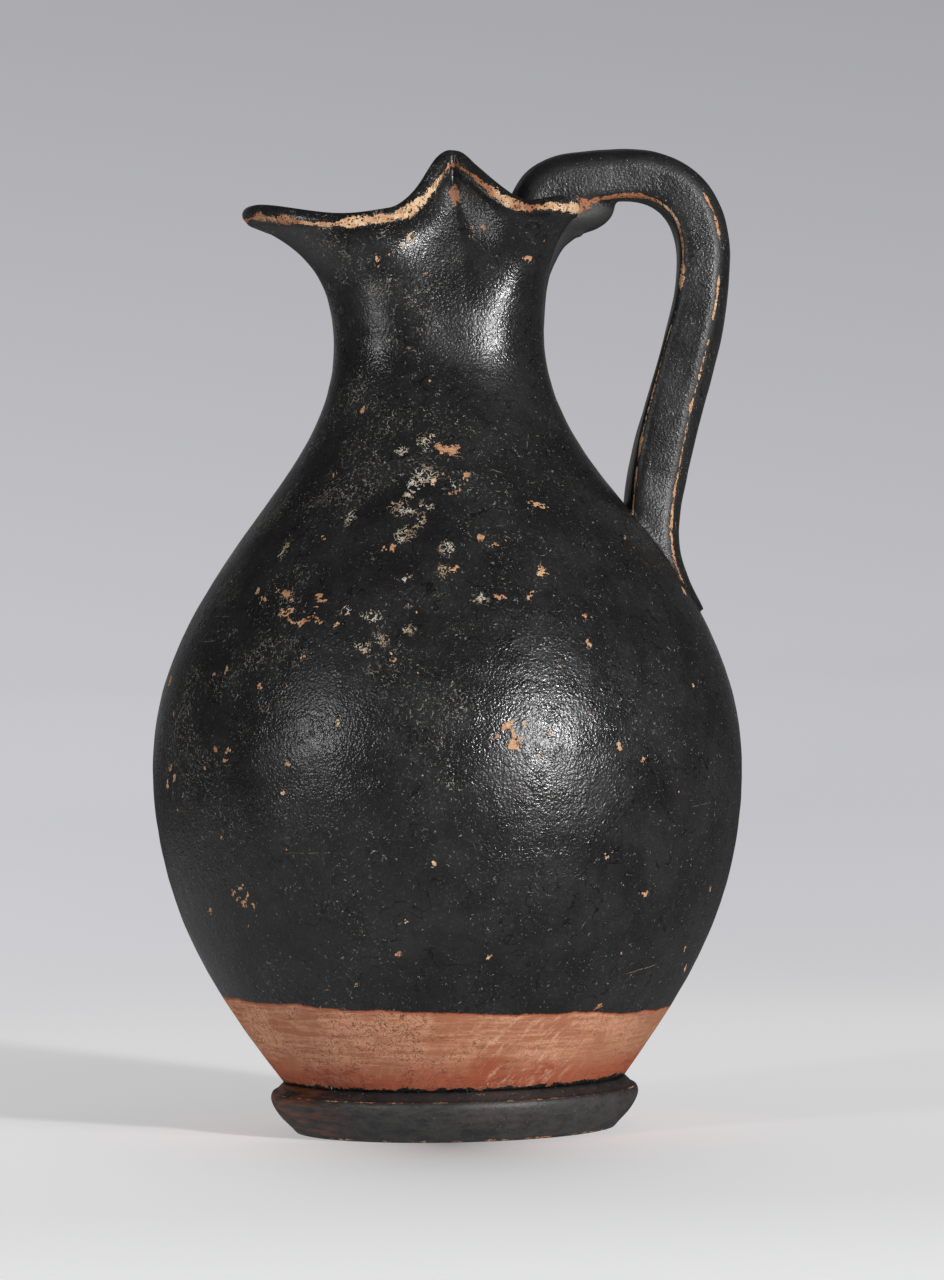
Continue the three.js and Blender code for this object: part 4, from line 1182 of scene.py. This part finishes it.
def lay_marks(w, look, place, unrolled, outside, clay, chip):
    """Crusts, scratches, chips and the patch in the near fold, torn ragged."""
    tear = w.noise_vector(place, CHIP_TEAR_SCALE, CHIP_TEAR)
    torn = w.shift(unrolled, w.stretch(tear, (1.0, 1.0, 0.0)))
    shards = w.cells(place, SHARD_SCALE)["Color"]
    shards = w.stretch(w.away(shards, (0.5, 0.5, 0.5)), (SHARD_REACH, SHARD_REACH, 0.0))
    torn = w.shift(torn, shards)
    fray = w.times_plus(w.noise(place, 2.1, 2.0, 0.65), 1.5, -0.75)
    deep_chips = [mark for mark in CHIPS if mark[2] * mark[3] > DEEP_CHIP]
    shallow_chips = [mark for mark in CHIPS if mark[2] * mark[3] <= DEEP_CHIP]
    deep = w.plus(nearest_mark(w, torn, deep_chips, chip), fray)
    deep_mask = w.times(w.step(deep, 0.92, 0.84), outside)
    shallow = w.plus(nearest_mark(w, torn, shallow_chips, chip), fray)
    shallow_mask = w.step(shallow, 0.95, 0.84)
    strewn = w.cells(w.shift(place, torn), STREWN_SCALE)
    strewn_pick = w.channels(strewn["Color"])
    strewn_size = w.times(w.step(strewn_pick[0], 0.6, 1.0), 0.035)
    strewn_gap = w.times_plus(fray, 0.04, w.minus(strewn["Distance"], strewn_size))
    shallow_mask = w.greater(shallow_mask, w.step(strewn_gap, 0.022, 0.014))
    shallow_mask = w.times(shallow_mask, outside)
    crust_reach = nearest_mark(w, torn, CRUSTS, chip)
    wiry = w.curl(place, 0.8, 3.0, 0.6, 0.6)
    crust = w.minus(w.step(crust_reach, 2.2, 0.4, -0.03, 0.042), wiry)
    crust = w.times(w.step(crust, -0.004, 0.008), outside)
    crust_colour = w.mix(w.step(w.noise(place, 0.35, 1.0), 0.42, 0.58), CRUST_TAN, CRUST_WHITE)
    look = lay(w, w.times(crust, 0.95), (crust_colour, CLAY_ROUGH, look[2]), look)
    lightly = w.shift(unrolled, w.noise_vector(place, 0.4, 0.5))
    scratch = w.step(nearest_mark(w, lightly, SCRATCHES, chip), 1.0, 0.5)
    scratch = w.times(scratch, w.step(w.noise(place, 0.8, 2.0), 0.38, 0.55))
    scratch = w.times(w.times(scratch, 0.65), outside)
    look = lay(w, scratch, (SCRATCH_TAN, 0.6, look[2]), look)
    clay_out = w.group(clay, {"Place": place, "Paleness": 0.56})
    deep_look = (clay_out["Colour"], CLAY_ROUGH, w.minus(clay_out["Height"], CHIP_DEPTH))
    look = lay(w, deep_mask, deep_look, look)
    look = lay(w, shallow_mask, (clay_out["Colour"], CLAY_ROUGH, look[2]), look)
    fold = w.plus(nearest_mark(w, torn, [FOLD_PATCH], chip), fray)
    fold = w.times(w.step(fold, 1.1, 0.95), outside)
    look = (w.mix(fold, look[0], FOLD_CLAY), look[1], look[2])
    return look


def lay_worn_lip(w, look, place, angle, outside, clay, wear):
    """The lip's lower corner is rubbed to the clay. The rolled edge above it is still black."""
    distance = w.size_of(w.stored("lip_distance"))
    stops = [(way, (width / WEAR_MOST, pale, 0, 1)) for way, width, pale in LIP_WEAR]
    lip_parts = w.channels(w.ramp(w.step_line(angle, radians(-90), radians(90)), stops))
    width = w.times(lip_parts[0], WEAR_MOST / 2)
    lip = w.times(rubbed_edge(w, wear, place, distance, width, 0.85), outside)
    pale = w.group(clay, {"Place": place, "Paleness": lip_parts[1]})
    look = lay(w, lip, (pale["Colour"], CLAY_ROUGH, w.minus(pale["Height"], LIP_WEAR_DEPTH)), look)
    return look


def wall_material(surface, clay, wear, chip):
    material, w, shader, place = new_material("glazed_wall_finish")
    parts, angle, radius = round_the_jug(w, place)
    unrolled = w.combine(w.times(angle, radius), parts[2], 0.0)
    outside = w.minus(1.0, w.stored("inside"))
    dust = w.times(w.step(angle, 0.5, -0.5, 0.3, 1.0), w.step(parts[2], *DUSTY_ABOVE, 0.45, 1.0))
    look = glazed(w, place, surface, dust, 1.0, w.step(parts[2], *CRINKLED_BELOW))
    look = lay_band(w, look, place, angle, parts[2], outside)
    look = lay_raw_clay(w, look, place, parts[2], radius, outside)
    look = lay_marks(w, look, place, unrolled, outside, clay, chip)
    look = lay_worn_lip(w, look, place, angle, outside, clay, wear)
    finish_surface(w, shader, *look)
    return material


def handle_material(surface, clay, wear):
    material, w, shader, place = new_material("glazed_handle_finish")
    look = glazed(w, place, surface, 0.35, 0.95, 0.3)
    share = w.stored("strap_share")
    outer = w.stored("outer_face")
    distance = w.stored("edge_distance")
    duller = w.step(distance, 1.6, 0.3, HANDLE_DULLER, HANDLE_EDGE_DULLER)
    look = (look[0], w.plus(look[1], duller), look[2])
    parts = w.axes(place)
    pad = w.times(w.step(parts[2], *PAD_TOP), w.step(parts[2], *PAD_BOTTOM))
    pad = w.times(pad, w.step(parts[0], *PAD_REACH))
    look = lay(w, w.times(pad, 0.9), (PAD_GREY, 0.62, look[2]), look)
    widths = []
    for table in (INNER_EDGE_WEAR, OUTER_EDGE_WEAR):
        widths.append(w.channels(w.ramp(share, [(way, width / WEAR_MOST) for way, width in table]))[0])
    width = w.times_plus(outer, w.minus(widths[1], widths[0]), widths[0])
    width = w.times(width, WEAR_MOST / 2)
    rubbed = rubbed_edge(w, wear, place, distance, width, 0.74)
    redder = w.times(w.step(share, 0.27, 0.22), w.minus(1.0, outer))
    clay_out = w.group(clay, {"Place": place, "Paleness": w.times_plus(redder, -0.26, 0.56)})
    clay_look = (clay_out["Colour"], WORN_ROUGH, w.minus(clay_out["Height"], EDGE_WEAR_DEPTH))
    look = lay(w, rubbed, clay_look, look)
    finish_surface(w, shader, *look)
    return material


def foot_material(surface, clay, wear):
    material, w, shader, place = new_material("glazed_foot_finish")
    parts, angle, radius = round_the_jug(w, place)
    look = glazed(w, place, surface, 0.35, 0.8, 0.0)
    mottle = w.step(w.noise(w.stretch(place, (0.5, 0.5, 1.4)), 0.5, 5.0, 0.75), 0.35, 0.62)
    # Lighter grey towards the bottom of the foot: mottled dust, and partly a painted reflection of the
    # floor below it
    dust_and_floor_sheen = w.times(w.times_plus(mottle, 0.6, 0.25), w.step(parts[2], *FOOT_DUST_AND_SHEEN_BELOW, 0.15, 1.0))
    look = (w.mix(dust_and_floor_sheen, look[0], FOOT_GREY), w.plus(look[1], 0.2), look[2])
    streaks = w.noise(w.stretch(place, (0.10, 0.10, 1.0)), 1.1, 4.0, 0.65)
    thin = w.plus(w.step(angle, -0.55, -1.25), w.times(w.noise(place, 0.08, 2.0), 0.5))
    brown = w.times(w.step(streaks, 0.42, 0.62), w.minus(thin, 0.25))
    look = (w.mix(w.times(brown, 0.8, clamp=True), look[0], FOOT_BROWN), look[1], look[2])
    worn = []
    for (at_radius, at_height), width, presence in FOOT_WEAR:
        away = w.length(w.combine(w.minus(radius, at_radius), w.minus(parts[2], at_height), 0.0))
        worn.append(rubbed_edge(w, wear, place, away, width, presence))
    clay_out = w.group(clay, {"Place": place, "Paleness": 0.45})
    under = w.times(w.step(radius, *FOOT_BORE), w.step(parts[2], *FOOT_BORE_TOP))
    gone = w.greater(w.greater(*worn), under)
    clay_look = (clay_out["Colour"], WORN_ROUGH, w.minus(clay_out["Height"], EDGE_WEAR_DEPTH))
    look = lay(w, gone, clay_look, look)
    finish_surface(w, shader, *look)
    return material


# Studio: tones are those that the camera sees
FLOOR_ALBEDO = 0.90
ROOM_DIM, ROOM_BEHIND, ROOM_FILL = 0.05, 0.35, 0.14
FLOOR_GLOW_SHARE, FAR_FLOOR_DIMMER = 0.66, 0.85
FLOOR_IN_GLOSS_LEFT, FLOOR_IN_GLOSS_RIGHT = 0.56, 0.22
CONTACT_SHADE, CONTACT_FALL = 0.60, 2.1
CONTACT_CENTRE, CONTACT_ASIDE, CONTACT_FRONT, CONTACT_BACK = (-0.004, -0.032), 0.047, 0.11, 0.022
HORIZON = 0.546
SIDE_START, SIDE_FALL, FAR_SIDE, NEAR_SIDE = 1.01, -0.07, (0.0, 0.175), (-0.12, 0.15)
FRONT_FALLS, FRONT_FALL = (0.30, -0.20), -0.14
NEAR_BLUE, FAR_BLUE = 1.02, 1.055
ZENITH = 0.405
ZENITH_RISE = 0.115
FLOOR_HALF, NEAR_FLOOR_ENDS, FAR_FLOOR_STARTS = 20.0, 0.30, 0.62
FLOOR_FROM, FLOOR_TO = -0.25, 2.0
# Tone of the floor from FLOOR_FROM to FLOOR_TO metres behind the jug
FLOOR_TONES = (
    (0.0, 0.50), (0.045, 0.485), (0.098, 0.580), (0.15, 0.605), (0.22, 0.612), (0.33, 0.620),
    (0.42, 0.612), (0.55, 0.600), (0.8, 0.582), (1.0, 0.572),
)


# Lamps: name, degrees round from the near side towards the handle, degrees up, distance, size, watts
LAMPS = (
    ("key_softbox", 33, 11, 1.26, (0.15, 0.80), 4.4),
    ("key_core", 32.5, 10, 1.24, (0.07, 0.10), 9.5),
    ("left_softbox", -55, 12, 1.35, (0.16, 0.26), 3.0),
)
LAMP_AIM_HEIGHT = 0.09


def make_camera():
    back = Vector((sin(CAMERA_TURN), -cos(CAMERA_TURN), 0.0))
    right = Vector((cos(CAMERA_TURN), sin(CAMERA_TURN), 0.0))
    data = bpy.data.cameras.new("photo_camera")
    data.sensor_width = SENSOR_MM
    data.lens = SENSOR_MM * CAMERA_DISTANCE / (PHOTO_HEIGHT_PX * MM_PER_PX * MM)
    data.clip_start = 0.01
    camera = bpy.data.objects.new("photo_camera", data)
    aim = right * CAMERA_ASIDE + Vector((0.0, 0.0, CAMERA_HEIGHT))
    turn = Matrix((right, Vector((0.0, 0.0, 1.0)), back)).transposed().to_4x4()
    roll = Matrix.Rotation(-CAMERA_ROLL, 4, "Z")
    camera.matrix_world = Matrix.Translation(aim + back * CAMERA_DISTANCE) @ turn @ roll
    bpy.context.collection.objects.link(camera)
    bpy.context.scene.camera = camera


def make_floor():
    """A wide pale floor: part of its light is its own, so that shadows on it stay faint."""
    corners = [(x * FLOOR_HALF, y * FLOOR_HALF, 0) for x, y in ((-1, -1), (1, -1), (1, 1), (-1, 1))]
    mesh = bpy.data.meshes.new("floor")
    mesh.from_pydata(corners, [], [(0, 1, 2, 3)])
    floor = bpy.data.objects.new("floor", mesh)
    bpy.context.collection.objects.link(floor)
    material = bpy.data.materials.new("pale_floor")
    material.use_nodes = True
    w = Wiring(material.node_tree)
    place = w.node("ShaderNodeTexCoord").outputs["Object"]
    parts = w.axes(place)
    distance = w.length(place)
    grey = w.channels(w.ramp(w.step_line(parts[1], FLOOR_FROM, FLOOR_TO), FLOOR_TONES))[0]
    grey = w.times_plus(w.step(distance, 2.0, 14.0), w.minus(HORIZON, grey), grey)
    near_side = w.step_line(parts[0], *NEAR_SIDE)
    far_side = w.step_line(w.divided(parts[0], distance), *FAR_SIDE)
    side = w.times_plus(w.step(distance, 0.8, 3.0), w.minus(far_side, near_side), near_side)
    grey = w.times(grey, w.times_plus(side, SIDE_FALL, SIDE_START))
    front = w.times(near_side, w.step(parts[1], *FRONT_FALLS, 0.0, FRONT_FALL))
    grey = w.plus(grey, front)
    blue = w.step(parts[1], 0.3, 1.2, NEAR_BLUE, FAR_BLUE)
    tone = w.colour(grey, grey, w.times(grey, blue))
    path = w.node("ShaderNodeLightPath").outputs

    # The soft shade round the foot, longest towards the front
    aside = w.divided(w.minus(parts[0], CONTACT_CENTRE[0]), CONTACT_ASIDE)
    ahead = w.minus(parts[1], CONTACT_CENTRE[1])
    ahead = w.divided(ahead, w.step(ahead, 0.0, 0.001, CONTACT_FRONT, CONTACT_BACK))
    reach = w.length(w.combine(aside, ahead, 0.0))
    shade = w.math("EXPONENT", w.times(reach, -CONTACT_FALL))
    open_share = w.times_plus(shade, -CONTACT_SHADE, 1.0)
    near_glow = w.times(open_share, FLOOR_GLOW_SHARE)
    far_glow = w.times_plus(path["Is Glossy Ray"], -FAR_FLOOR_DIMMER, 1.0)
    bare = w.colour(open_share, open_share, open_share)
    lit_colour = w.mix(1.0 - FLOOR_ALBEDO, bare, (0.0, 0.0, 0.0, 1))
    lit = w.node("ShaderNodeBsdfDiffuse", {"Color": lit_colour})
    own = w.node("ShaderNodeEmission", {"Color": tone, "Strength": near_glow})
    near = w.node("ShaderNodeAddShader", {0: lit.outputs[0], 1: own.outputs[0]})
    dimmed = w.step(parts[0], -0.25, 0.25, FLOOR_IN_GLOSS_LEFT, FLOOR_IN_GLOSS_RIGHT)
    mirrored = w.node("ShaderNodeEmission", {"Color": tone, "Strength": dimmed})
    feeds = {0: path["Is Glossy Ray"], 1: near.outputs[0], 2: mirrored.outputs[0]}
    near = w.node("ShaderNodeMixShader", feeds)
    far = w.node("ShaderNodeEmission", {"Color": tone, "Strength": far_glow})
    fade = w.step(distance, NEAR_FLOOR_ENDS, FAR_FLOOR_STARTS)
    blend = w.node("ShaderNodeMixShader", {0: fade, 1: near.outputs[0], 2: far.outputs[0]})
    w.feed(material.node_tree.nodes["Material Output"].inputs["Surface"], blend.outputs[0])
    mesh.materials.append(material)


def area_light(name, turn, rise, distance, size, power):
    """A soft lamp, aimed at the jug."""
    data = bpy.data.lights.new(name, "AREA")
    data.shape = "RECTANGLE"
    data.size, data.size_y = size
    data.energy = power
    light = bpy.data.objects.new(name, data)
    target = Vector((0, 0, LAMP_AIM_HEIGHT))
    flat = distance * cos(radians(rise))
    light.location = target + Vector((
        flat * sin(radians(turn)), -flat * cos(radians(turn)), distance * sin(radians(rise))
    ))
    light.rotation_euler = (target - light.location).to_track_quat("-Z", "Y").to_euler()
    bpy.context.collection.objects.link(light)


def make_world():
    """A pale backdrop for the camera, a dim room for reflections and a soft fill."""
    world = bpy.data.worlds.new("studio")
    world.use_nodes = True
    w = Wiring(world.node_tree)
    direction = w.node("ShaderNodeTexCoord").outputs["Generated"]
    parts = w.axes(direction)
    height = w.step_line(parts[2], 0.0, ZENITH_RISE)
    grey = w.times_plus(height, ZENITH - HORIZON, HORIZON)
    grey = w.times(grey, w.times_plus(w.step_line(parts[0], *FAR_SIDE), SIDE_FALL, SIDE_START))
    blue = w.times(grey, FAR_BLUE)
    seen = w.colour(grey, grey, blue)
    behind = w.step(parts[1], 0.86, 0.99)
    room = w.mix(behind, (ROOM_DIM,) * 3 + (1,), (ROOM_BEHIND,) * 3 + (1,))
    path = w.node("ShaderNodeLightPath").outputs
    other = w.mix(path["Is Diffuse Ray"], room, (ROOM_FILL,) * 3 + (1,))
    background = world.node_tree.nodes["Background"]
    w.feed(background.inputs["Color"], w.mix(path["Is Camera Ray"], other, seen))
    bpy.context.scene.world = world


make_camera()
make_floor()
make_world()
for lamp in LAMPS:
    area_light(*lamp)
bpy.context.scene.view_settings.view_transform = "Standard"

surface = glaze_surface()
clay = bare_clay()
wear = worn_edge()
chip = chip_group()

wall = vessel_wall()
wall.data.materials.append(wall_material(surface, clay, wear, chip))
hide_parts("body_wall", "neck_and_mouth")
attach(wall, "root")

foot = foot_ring()
foot.data.materials.append(foot_material(surface, clay, wear))
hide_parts("foot")
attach(foot, "root")

grip = handle()
grip.data.materials.clear()
grip.data.materials.append(handle_material(surface, clay, wear))
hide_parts("strap_handle", "upper_handle_pad", "handle_root_luting")
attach(grip, "root")
